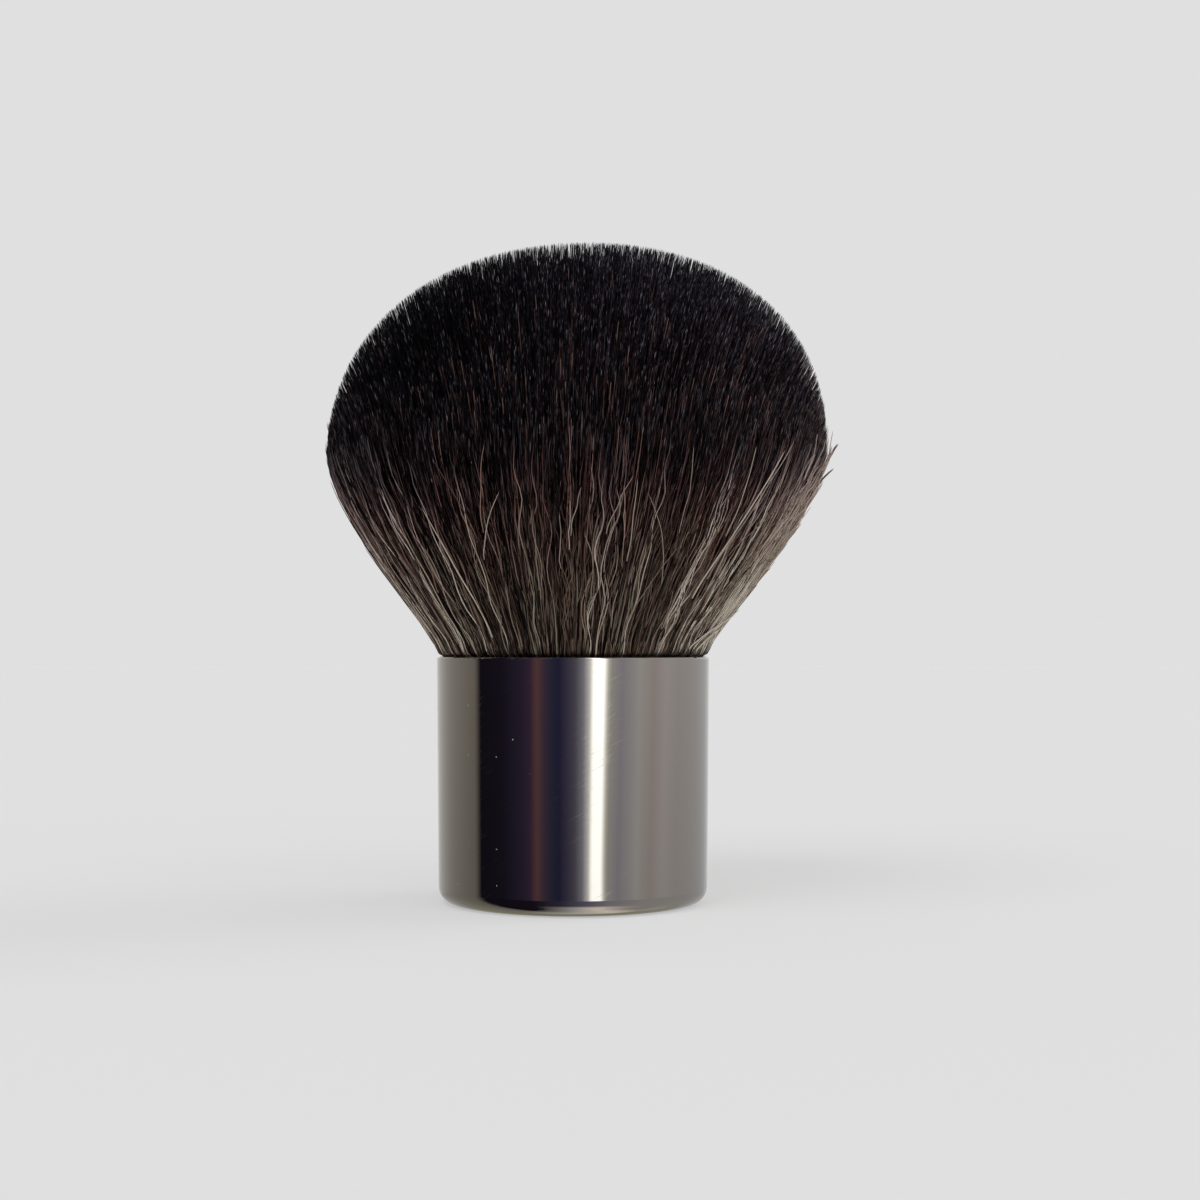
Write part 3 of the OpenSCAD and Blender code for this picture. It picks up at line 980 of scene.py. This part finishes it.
class KABUKI_OT_under_hair(KabukiOperator, bpy.types.Operator):
    """Lays the dark hairs of the flank, from the mouth to the shoulder."""

    bl_idname = "kabuki.under_hair"
    bl_label = "Flank hair"

    RINGS = 10
    # Share of the mouth's radius at which the innermost ones stand
    INNERMOST = 0.86
    # Their waves' size to the side and outwards, and their length, each as a share of the guard
    # hair's
    SWING, BULGE, LONGER = 0.45, 0.3, 1.3
    # How far the middle of a lock stands out, and the part of the hair over which it comes out
    CREST, CREST_RISE = 0.12 * MM, 0.2
    # How many have the light families, and both ranges of families
    LIGHT_SHARE, LIGHT, DARK = 0.16, (0.6, 0.85), (0.01, 0.62)

    def execute(self, context):
        settings = self.settings(context)
        head, hair = settings.head, settings.hair
        count, span = hair.under_count, head.shoulder_h * FLANK_SPAN
        material = flank_material()
        times = flank_times(self.RINGS)
        for tuft in range(1, TUFTS + 1):
            rng = tuft_draws(head, tuft, 0)
            share = np.sqrt(rng.uniform(self.INNERMOST ** 2, 1.0, count))
            azimuth, share, crest = gather(head, tuft_azimuths(rng, tuft, count), share)
            swing, bulge = (
                waves(rng, count, times, span, hair.wave_size * size, hair.wave_length * self.LONGER)
                for size in (self.SWING, self.BULGE))
            bulge += self.CREST * crest[:, None] * np.clip(times / self.CREST_RISE, 0, 1)
            shorter = rng.uniform(0, 1, count) ** 2 * hair.tip_scatter
            paths = flank_paths(head, share, azimuth, shorter, self.RINGS, swing, bulge)
            radii = flank_radii(rng, count, self.RINGS, hair.under_d)
            family = np.where(
                rng.uniform(0, 1, count) < self.LIGHT_SHARE, rng.uniform(*self.LIGHT, count),
                rng.uniform(*self.DARK, count))
            lay_flank(
                f"hair_tuft_{tuft}_flank", tuft, material, rng, paths, radii, azimuth, family)
        return {"FINISHED"}


class KABUKI_OT_guard_hair(KabukiOperator, bpy.types.Operator):
    """Lays the long wavy light hairs over the flank, in small clumps of like colour."""

    bl_idname = "kabuki.guard_hair"
    bl_label = "Guard hair"

    RINGS = 24
    # Hairs to a clump
    CLUMP = 4
    # Their own waves' size to the side and outwards, as shares of the clump's
    OWN, BULGE = 0.5, 0.45
    # A clump fans out from the first spread at the rim by the second up to the tip
    FAN = (0.2 * MM, 0.7 * MM)
    # Width of the ring in the mouth that they stand in, as a share of its radius
    RING_WIDTH = 0.1
    # They bulge outwards no more than this
    OUTMOST = 0.1 * MM
    # The palest families lie outermost: by how much, from which family on and over what range of
    # families, and the first part of the hair, in which they come out
    PALE_LIFT, PALE_FROM, PALE_RANGE, LIFT_RISE = 0.16 * MM, 0.7, 0.2, 0.1
    # How much more their ends are scattered than the other hairs'
    SCATTER = 1.6
    # Clumps' families: the darkest, the range above it and how rare the palest are; the spread of
    # families and azimuths in a clump, and the range that the families stay in
    DARKEST, RANGE, RARE = 0.48, 0.5, 2.6
    FAMILY_SPREAD, AZIMUTH_SPREAD, FAMILIES = 0.04, 0.01, (0.4, 0.99)

    def execute(self, context):
        settings = self.settings(context)
        head, hair = settings.head, settings.hair
        count, span = hair.guard_count, head.shoulder_h * FLANK_SPAN
        clumps = count // self.CLUMP
        material = flank_material()
        times = flank_times(self.RINGS)
        for tuft in range(1, TUFTS + 1):
            rng = tuft_draws(head, tuft, 1)
            clump = rng.integers(0, clumps, count)
            clump_azimuth = tuft_azimuths(rng, tuft, clumps)
            clump_family = self.DARKEST + self.RANGE * rng.uniform(0, 1, clumps) ** self.RARE
            common = waves(rng, clumps, times, span, hair.wave_size, hair.wave_length)[clump]
            own = waves(rng, count, times, span, hair.wave_size * self.OWN, hair.wave_length)
            fan = rng.normal(0, 1, (count, 1)) * (self.FAN[0] + self.FAN[1] * times[None, :])
            family = np.clip(
                clump_family[clump] + rng.normal(0, self.FAMILY_SPREAD, count), *self.FAMILIES)
            share = 1 - self.RING_WIDTH * rng.uniform(0, 1, count) ** 2
            azimuth, share, _ = gather(
                head, clump_azimuth[clump] + rng.normal(0, self.AZIMUTH_SPREAD, count), share)
            bulge = waves(rng, count, times, span, hair.wave_size * self.BULGE, hair.wave_length)
            pale = np.clip((family - self.PALE_FROM) / self.PALE_RANGE, 0, 1)[:, None]
            bulge = np.minimum(bulge, self.OUTMOST) + (
                self.PALE_LIFT * pale * np.clip(times / self.LIFT_RISE, 0, 1))
            shorter = rng.uniform(0, 1, count) * self.SCATTER * hair.tip_scatter
            paths = flank_paths(
                head, share, azimuth, shorter, self.RINGS, common + own + fan, bulge)
            radii = flank_radii(rng, count, self.RINGS, hair.guard_d)
            lay_flank(
                f"hair_tuft_{tuft}_guard", tuft, material, rng, paths, radii, azimuth, family)
        return {"FINISHED"}


class KABUKI_OT_stray_hair(KabukiOperator, bpy.types.Operator):
    """Lays the few hairs that stand off the flank: two long pale ones, shoulder wisps and strays."""

    bl_idname = "kabuki.stray_hair"
    bl_label = "Stray hair"

    # Azimuth at both ends in degrees, height at both ends above the rim and distance that the far
    # end stands off, in mm, and colour family
    CHOSEN = (
        (-49, -40, 6.0, 21.0, 0.3, 0.985), (-47, -38, 8.0, 22.0, 0.5, 0.93),
        (-36, -13, 0.8, 4.6, 0.5, 0.985), (-33, -10, 0.8, 5.2, 0.4, 0.95),
        (-30, -14, 0.6, 3.4, 0.3, 0.97), (-4, 0, 20.6, 23.5, 1.2, 0.84),
        (-3, 1, 20.8, 23.0, 1.0, 0.80), (-5, -3, 20.2, 23.2, 1.1, 0.78),
        (-2, -1, 20.9, 23.4, 1.3, 0.83), (0, 1, 18.6, 20.8, 1.2, 0.84),
        (-2, -3, 18.4, 20.5, 1.0, 0.80),
        (-122, -128, 2.0, 15.0, 0.3, 0.97))
    # The chosen ones are two or three hairs together, drawn as one
    CHOSEN_WIDTH = 1.6
    # The drawn ones: how many, the range of their azimuths, the middle and spread of their drift
    # round the head in degrees, the ranges of height, rise and stand-off in mm, and of family. The
    # second set are ragged pale ends on the side that faces +X, whose paleness is partly painted rim
    # light
    DRAWN = (
        (60, (0, 360), (0, 5), (1.0, 13.0), (4.0, 9.0), (0.05, 0.3), (0.66, 0.97)),
        # The second set's pale families are partly painted rim light
        (150, (-30, 15), (2, 3), (7.0, 20.0), (2.0, 5.0), (0.05, 0.5), (0.88, 0.99)))
    RINGS = 14
    # Least distance from the head's surface, and how late they drift round it
    CLEAR, DRIFT_LATE = 0.18, 1.3
    # Their waves' size as a share of the guard hair's, and the length of hair that they run along
    SWING, SPAN = 0.3, 12 * MM
    # How much thinner they are at the tip, the points of the outline that they stand off, and their
    # colours: the height that counts as a hair's full length, and the range of places along it
    TIP_THINNING, OUTLINE_POINTS, FULL_HEIGHT, PLACES = 0.5, 60, 1.4, (0.05, 0.45)

    def execute(self, context):
        settings = self.settings(context)
        head, hair = settings.head, settings.hair
        rng = np.random.default_rng(head.seed + 5)
        rows = [np.array(self.CHOSEN)]
        feet = [rng.uniform(*low, count) for count, _, _, low, *_ in self.DRAWN]
        for foot, (count, facing, drift, _, rise, off, tones) in zip(feet, self.DRAWN):
            start = rng.uniform(*facing, count)
            rows.append(np.stack([
                start, start + rng.normal(*drift, count), foot, foot + rng.uniform(*rise, count),
                rng.uniform(*off, count), rng.uniform(*tones, count)], axis=-1))
        start, end, foot, top, off, family = np.concatenate(rows).T[:, :, None]
        count = len(family)
        t = np.linspace(0, 1, self.RINGS + 1)[None, :]
        azimuth = np.radians(start + (end - start) * t ** self.DRIFT_LATE)
        height = (foot + (top - foot) * t) * MM
        outline_r, outline_z = flank_curve(head, 1.0, np.linspace(0, 1, self.OUTLINE_POINTS))
        radius = np.interp(height, outline_z, outline_r) + (self.CLEAR + off * t ** 2) * MM
        swing = waves(rng, count, t[0], self.SPAN, hair.wave_size * self.SWING, hair.wave_length)
        paths = place_hairs(head, radius, height, azimuth, swing)
        thin = 1 - self.TIP_THINNING * t[:, :-1] ** 2
        wide = np.where(np.arange(count) < len(self.CHOSEN), self.CHOSEN_WIDTH, 1.0)
        along = np.clip(height / (head.shoulder_h * self.FULL_HEIGHT), *self.PLACES)
        thing = sweep_hairs(
            "hair_strays", paths, hair.guard_d / 2 * wide[:, None] * thin, family[:, 0], along,
            spins(rng, count))
        dress(thing, flank_material(), "hair")
        return {"FINISHED"}


class KABUKI_OT_crown_hair(KabukiOperator, bpy.types.Operator):
    """Sets the hair ends that make the dome."""

    bl_idname = "kabuki.crown_hair"
    bl_label = "Crown hair"

    # Rings and tip along the part that shows, and the rings' thickness
    RINGS = np.array([[0.0, 0.35, 0.7, 0.97, 1.0]])
    THIN = np.array([[1.0, 1.0, 0.95, 0.65]])
    # How the length that shows and the thickness vary from hair to hair
    SHOWN, THICKNESS = (0.8, 1.2), (0.7, 1.2)
    # Locks are finer than on the flank, and open out again at their ends
    LOCK_FINENESS, LOCK_STRENGTH, LOCK_OPENS = 3.0, 0.7, 4
    # How rare the short ends are, and how much shorter hairs between two locks are
    RARE_SHORT, BETWEEN = 7, 0.05 * MM
    # Middle and spread of their height on the surface, and spread to the side
    SUNK, SUNK_SPREAD, SIDE_SPREAD = -0.1 * MM, 0.1 * MM, 0.2 * MM
    # Painted shade on the front left: where it faces, how narrow it is, and how much darker
    DARK_SIDE, DARKER = (math.radians(-150), 5), 3
    # The side that faces +X has a fringe of pale ends, painted rim light; others hold a few, painted
    # glints
    FRINGE_SIDE, FRINGE, FRINGE_ELSEWHERE = (0.0, 14), 0.7, 0.04
    # Some of the outer ones are undyed: how many at the edge, how quickly fewer further in and in
    # the painted shade of the front left, how far they lie on top, and the part of their length
    # whose colour they have
    UNDYED, UNDYED_OUTER, UNDYED_DARK, ON_TOP, UNDYED_PART = 0.8, 5, 0.95, 0.15 * MM, 0.35
    # Ranges of families: dyed, fringe and undyed
    DYED, PALE_ENDED, REDDISH = (0.01, 0.90), (0.92, 0.99), (0.2, 0.895)

    def tones(self, rng, facing, share):
        """Families of crown hairs, with painted shade and painted rim light, and which of them are
        undyed.
        """
        count = len(share)
        # Painted shade: families darken towards the front left
        dark = side_light(facing, *self.DARK_SIDE)
        family = rng.uniform(*self.DYED, count) ** (1 + self.DARKER * dark)
        # Pale ends: painted rim light on the side that faces +X, painted glints elsewhere
        fringe = self.FRINGE_ELSEWHERE + self.FRINGE * share * side_light(facing, *self.FRINGE_SIDE)
        family = np.where(
            rng.uniform(0, 1, count) < fringe, rng.uniform(*self.PALE_ENDED, count), family)
        most = self.UNDYED * share ** self.UNDYED_OUTER * (1 - self.UNDYED_DARK * dark)
        undyed = rng.uniform(0, 1, count) < most
        return np.where(undyed, rng.uniform(*self.REDDISH, count), family), undyed[:, None]

    def execute(self, context):
        settings = self.settings(context)
        head, hair = settings.head, settings.hair
        count = hair.crown_count
        material = crown_material()
        opening = self.LOCK_STRENGTH * (1 - self.RINGS ** self.LOCK_OPENS)
        for tuft in range(1, TUFTS + 1):
            rng = tuft_draws(head, tuft, 2)
            share = np.arccos(rng.uniform(0, 1, count)) / (math.pi / 2)
            facing = tuft_azimuths(rng, tuft, count)
            azimuth, place, crest = gather(
                head, facing[:, None], share[:, None], self.LOCK_FINENESS, opening)
            shorter = rng.uniform(0, 1, (count, 1)) ** self.RARE_SHORT * hair.tip_scatter
            shorter = shorter + np.clip(-crest, 0, 2) * self.BETWEEN
            shown = hair.crown_length * rng.uniform(*self.SHOWN, (count, 1))
            start = place_before_tip(head, place, shown + shorter)
            end = place_before_tip(head, place, shorter)
            radius, height = flank_curve(head, place, start + (end - start) * self.RINGS)
            away = 1 - self.RINGS
            lift = rng.normal(self.SUNK, self.SUNK_SPREAD, (count, 1))
            side = rng.normal(0, self.SIDE_SPREAD, (count, 1)) * away
            radii = hair.crown_d / 2 * rng.uniform(*self.THICKNESS, (count, 1)) * self.THIN
            family, undyed = self.tones(rng, facing, share)
            lift = lift + self.ON_TOP * undyed
            paths = place_hairs(head, radius + lift * away, height, azimuth, side)
            along = np.clip(self.RINGS * np.where(undyed, self.UNDYED_PART, 1.0), *PLACES)
            thing = sweep_hairs(
                f"hair_tuft_{tuft}_crown", paths, radii, family, along, spins(rng, count))
            dress(thing, material, "hair", f"bristle_tuft_{tuft}")
        return {"FINISHED"}


class KABUKI_OT_stage(KabukiOperator, bpy.types.Operator):
    """Sets the camera, the floor, the lamps and what the metal reflects."""

    bl_idname = "kabuki.stage"
    bl_label = "Studio"

    PHOTO_SIZE = 1200
    SENSOR = 36.0
    WORLD_STRENGTH = 0.5
    # Half width of the floor, how far it lies under the brush, and how much of its tone is its own
    FLOOR_REACH, FLOOR_GAP, FLOOR_GLOW = 6.0, 0.02 * MM, 0.6
    # Name, azimuth from straight in front and elevation in degrees, strength, and softness in degrees
    LAMPS = (
        ("key_lamp", -35.0, 50.0, 1.1, 40.0), ("fill_lamp", 40.0, 35.0, 0.5, 60.0),
        ("rim_lamp", 110.0, 30.0, 0.9, 40.0))
    # The light tent, its brightest strength, and how dark it gets at its foot, from where to where
    TENT_R, TENT_LOW, TENT_HIGH, TENT_SIDES = 0.35, -0.6, 0.9, 180
    TENT_FULL, FOOT_SHADE, FOOT_LOW, FOOT_HIGH = 4.0, 0.84, -0.05, 0.02
    # What hangs on it: a black flag and a reddish bar on the left, a strip box and grey cloth on the
    # right. Each has its degrees from straight in front, colour and brightness
    PANELS = (
        (-180, "#ffffff", 0.90), (-150, "#fffcf6", 0.70), (-120, "#fff8ee", 0.48),
        (-88, "#fff4e6", 0.32), (-82, "#dcc8ff", 0.02), (-60, "#d4c0ff", 0.03),
        (-44, "#d8c0ff", 0.06), (-35, "#f0b8ff", 0.09), (-29.5, "#ffb8bc", 0.21),
        (-23, "#dcb8e4", 0.13), (-17, "#b8b8ff", 0.10), (-11, "#a8a8ff", 0.09),
        (-4, "#d8c8ff", 0.15), (2, "#e8e4ff", 0.20), (9, "#f0ecff", 0.50), (14, "#fffff8", 1.3),
        (17.5, "#fffffa", 3.6), (25.5, "#fffffa", 3.6), (29, "#fffff0", 1.2),
        (32, "#fffcf4", 0.68), (41, "#f6eefc", 0.57), (57, "#fffdf8", 0.74),
        (70, "#fff2ee", 0.66), (83, "#fff8f6", 0.76), (98, "#fff8f4", 0.69),
        (145, "#ffffff", 0.68), (180, "#ffffff", 0.90))
    # The table that they stand on, a painted reflection on the tent, whose near part is lit on the right
    # and in shade on the left
    TABLE = (
        (-180, "#ffffff", 0.70), (-90, "#fff4e0", 0.34), (-80, "#dcc8ff", 0.02),
        (-34, "#e0b8ff", 0.03), (-10, "#d8d0ff", 0.10), (12, "#d8d8ff", 0.34),
        (30, "#f4f0ff", 0.50), (60, "#fffaf4", 0.62), (180, "#ffffff", 0.70))
    # Its front edge, bright on the right, and the olive below and behind that, both from left to right
    EDGE = ((0.5, "#9a9893"), (0.75, "#ada59b"), (0.94, "#7f7b75"), (1.0, "#6e6b67"))
    OLIVE = ((0.0, "#5f5e52"), (0.5, "#64634f"), (1.0, "#6b6a62"))
    # The axis along which each fade goes, and the places in the tent where it starts and ends
    FADES = {
        "table": ("Z", -0.062, -0.074), "edge": ("Z", -0.28, -0.42), "deep": ("Z", -0.20, -0.28),
        "right": ("X", -0.22, 0.15), "across": ("X", -TENT_R, TENT_R), "back": ("Y", 0.14, 0.28)}
    # The strip box leans: by how many degrees, between which heights, and from which of its sides,
    # at these degrees from straight in front, to which
    LEAN, LEAN_HIGH, LEAN_LOW, LEAN_NEAR, LEAN_FAR = 4.2, 0.027, -0.036, -2, 28

    def execute(self, context):
        stage = self.settings(context).stage
        self.set_camera(context, stage)
        self.set_world(context, stage)
        self.lay_floor(stage)
        self.hang_tent()
        for lamp in self.LAMPS:
            self.hang_lamp(*lamp)
        context.scene.view_settings.view_transform = "Standard"
        return {"FINISHED"}

    def set_camera(self, context, stage):
        """A level camera at the rim's height; its shift puts the brush where the photo has it."""
        data = bpy.data.cameras.new("camera")
        data.sensor_width = self.SENSOR
        data.lens = stage.distance / MM * stage.scale * self.SENSOR / self.PHOTO_SIZE
        data.shift_x = 0.5 - stage.axis_x / self.PHOTO_SIZE
        data.shift_y = stage.rim_y / self.PHOTO_SIZE - 0.5
        data.clip_start = 0.01
        camera = bpy.data.objects.new("camera", data)
        camera.location = (0.0, -stage.distance, RIM_Z)
        camera.rotation_euler = (math.pi / 2, 0.0, 0.0)
        context.scene.collection.objects.link(camera)
        context.scene.camera = camera

    def set_world(self, context, stage):
        """Even soft light; the camera, the metal and any glass see the plain pale background."""
        world = bpy.data.worlds.new("studio")
        world.use_nodes = True
        tree = world.node_tree
        tree.nodes.clear()
        path = add_node(tree, "ShaderNodeLightPath")
        seen = path.outputs["Is Camera Ray"]
        for ray in ("Is Glossy Ray", "Is Transmission Ray"):
            seen = add_node(
                tree, "ShaderNodeMath", {"operation": "MAXIMUM"},
                {0: seen, 1: path.outputs[ray]}).outputs[0]
        light = add_node(
            tree, "ShaderNodeBackground",
            {"Color": linear("#ffffff"), "Strength": self.WORLD_STRENGTH})
        view = add_node(
            tree, "ShaderNodeBackground", {"Color": (*stage.backdrop, 1.0), "Strength": 1.0})
        mix = add_node(
            tree, "ShaderNodeMixShader", links={0: seen, 1: light.outputs[0], 2: view.outputs[0]})
        add_node(tree, "ShaderNodeOutputWorld", links={"Surface": mix.outputs[0]})
        context.scene.world = world

    def lay_floor(self, stage):
        """A wide pale sheet; most of its tone is its own, the rest takes the brush's shadow."""
        material, tree = new_material("pale_floor_sheet")
        sheet = add_node(tree, "ShaderNodeBsdfDiffuse", {"Color": (*stage.backdrop, 1.0)})
        glow = add_node(tree, "ShaderNodeEmission", {"Color": (*stage.backdrop, 1.0)})
        path = add_node(tree, "ShaderNodeLightPath")
        seen = add_node(
            tree, "ShaderNodeMath", {"operation": "MULTIPLY", 1: self.FLOOR_GLOW},
            {0: path.outputs["Is Camera Ray"]})
        mix = add_node(
            tree, "ShaderNodeMixShader",
            links={0: seen.outputs[0], 1: sheet.outputs[0], 2: glow.outputs[0]})
        add_node(tree, "ShaderNodeOutputMaterial", links={"Surface": mix.outputs[0]})
        points = np.array([
            (x * self.FLOOR_REACH, y * self.FLOOR_REACH, -self.FLOOR_GAP)
            for x, y in ((-1, -1), (1, -1), (1, 1), (-1, 1))])
        floor = build_mesh("floor", points, np.array([(0, 1, 2), (0, 2, 3)]), smooth=False)
        floor.data.materials.append(material)
        floor.visible_glossy = False

    def tent_places(self, tree, xyz):
        """Places round the tent from left to right, 0 to 1: upright, and as the strip box leans."""
        front = add_node(
            tree, "ShaderNodeMath", {"operation": "MULTIPLY", 1: -1.0}, {0: xyz.outputs["Y"]})
        turn = add_node(
            tree, "ShaderNodeMath", {"operation": "ARCTAN2"},
            {0: xyz.outputs["X"], 1: front.outputs[0]})
        share = add_node(
            tree, "ShaderNodeMapRange", {"From Min": -math.pi, "From Max": math.pi},
            {"Value": turn.outputs[0]})
        low_down = add_node(
            tree, "ShaderNodeMapRange",
            {"From Min": self.LEAN_HIGH, "From Max": self.LEAN_LOW, "To Max": self.LEAN / 360},
            {"Value": xyz.outputs["Z"]})
        side = add_node(
            tree, "ShaderNodeMapRange",
            {"From Min": math.radians(self.LEAN_NEAR), "From Max": math.radians(self.LEAN_FAR)},
            {"Value": turn.outputs[0]})
        leaning = add_node(
            tree, "ShaderNodeMath", {"operation": "MULTIPLY_ADD"},
            {0: low_down.outputs["Result"], 1: side.outputs["Result"], 2: share.outputs["Result"]})
        return share.outputs["Result"], leaning.outputs[0]

    def tent_material(self):
        """Tent cloth that glows with the panels on it and the painted reflection of a table under them.
        """
        material, tree = new_material("light_tent_cloth")
        place = add_node(tree, "ShaderNodeTexCoord")
        xyz = add_node(tree, "ShaderNodeSeparateXYZ", links={0: place.outputs["Object"]})
        upright, leaning = self.tent_places(tree, xyz)
        fades = {
            name: add_node(
                tree, "ShaderNodeMapRange", {"From Min": start, "From Max": end},
                {"Value": xyz.outputs[axis]}).outputs["Result"]
            for name, (axis, start, end) in self.FADES.items()}
        panels, table = (
            [((angle + 180) / 360, tint, bright / self.TENT_FULL) for angle, tint, bright in stops]
            for stops in (self.PANELS, self.TABLE))
        shown = add_node(
            tree, "ShaderNodeValToRGB", links={"Fac": leaning}, stops=panels).outputs["Color"]
        for stops, along, *parts in (
                (table, upright, "table"),
                (self.EDGE, fades["across"], "edge", "right"),
                (self.OLIVE, fades["across"], "deep", "back")):
            ramp = add_node(tree, "ShaderNodeValToRGB", links={"Fac": along}, stops=stops)
            where = fades[parts[0]]
            for part in parts[1:]:
                where = add_node(
                    tree, "ShaderNodeMath", {"operation": "MULTIPLY"},
                    {0: where, 1: fades[part]}).outputs[0]
            shown = add_node(
                tree, "ShaderNodeMix", {"data_type": "RGBA"},
                {0: where, 6: shown, 7: ramp.outputs["Color"]}).outputs[2]
        shade = add_node(
            tree, "ShaderNodeMapRange",
            {"From Min": self.FOOT_LOW, "From Max": self.FOOT_HIGH,
             "To Min": self.FOOT_SHADE * self.TENT_FULL, "To Max": self.TENT_FULL},
            {"Value": xyz.outputs["Z"]})
        glow = add_node(
            tree, "ShaderNodeEmission",
            links={"Color": shown, "Strength": shade.outputs["Result"]})
        add_node(tree, "ShaderNodeOutputMaterial", links={"Surface": glow.outputs[0]})
        return material

    def hang_tent(self):
        """A round light tent that only reflections see, closed at its foot."""
        sides = self.TENT_SIDES
        side = np.arange(sides)
        after = (side + 1) % sides
        turn = side * 2 * math.pi / sides
        points = np.concatenate([
            np.stack([self.TENT_R * np.cos(turn), self.TENT_R * np.sin(turn),
                      np.full(sides, height)], axis=-1)
            for height in (self.TENT_LOW, self.TENT_HIGH)])
        faces = np.concatenate([
            np.stack([side, after + sides, after], axis=1),
            np.stack([side, side + sides, after + sides], axis=1),
            np.stack([np.zeros(sides - 2, int), side[1:-1], side[2:]], axis=1)])
        tent = build_mesh("light_tent", points, faces)
        tent.data.materials.append(self.tent_material())
        tent.visible_camera = False
        tent.visible_diffuse = False
        tent.visible_transmission = False
        tent.visible_shadow = False

    @staticmethod
    def hang_lamp(name, azimuth, elevation, strength, softness):
        """A far soft lamp."""
        data = bpy.data.lights.new(name, "SUN")
        data.energy = strength
        data.angle = math.radians(softness)
        lamp = bpy.data.objects.new(name, data)
        lamp.rotation_euler = (math.radians(90 - elevation), 0.0, math.radians(azimuth))
        bpy.context.scene.collection.objects.link(lamp)


STEPS = (
    KABUKI_OT_stage, KABUKI_OT_ferrule, KABUKI_OT_base, KABUKI_OT_knot, KABUKI_OT_hair_mass,
    KABUKI_OT_under_hair, KABUKI_OT_guard_hair, KABUKI_OT_stray_hair, KABUKI_OT_crown_hair)


class KABUKI_PT_brush(bpy.types.Panel):
    """Steps of the brush in the 3D view's sidebar."""

    bl_idname = "KABUKI_PT_brush"
    bl_label = "Kabuki Brush"
    bl_space_type = "VIEW_3D"
    bl_region_type = "UI"
    bl_category = "Kabuki Brush"

    def draw(self, context):
        settings = context.scene.kabuki_brush
        for group in (settings.head, settings.hair, settings.metal, settings.stage):
            box = self.layout.box()
            for name in group.__annotations__:
                box.prop(group, name)
        for step in STEPS:
            self.layout.operator(step.bl_idname)


GROUPS = (
    KabukiHeadSettings, KabukiHairSettings, KabukiMetalSettings, KabukiStageSettings,
    KabukiSettings)


def register():
    for group in (*GROUPS, *STEPS, KABUKI_PT_brush):
        bpy.utils.register_class(group)
    bpy.types.Scene.kabuki_brush = bpy.props.PointerProperty(type=KabukiSettings)


def unregister():
    del bpy.types.Scene.kabuki_brush
    for group in reversed((*GROUPS, *STEPS, KABUKI_PT_brush)):
        bpy.utils.unregister_class(group)


def main():
    """Registers the add-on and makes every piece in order."""
    register()
    for step in STEPS:
        family, name = step.bl_idname.split(".")
        getattr(getattr(bpy.ops, family), name)()


if __name__ == "__main__":
    main()
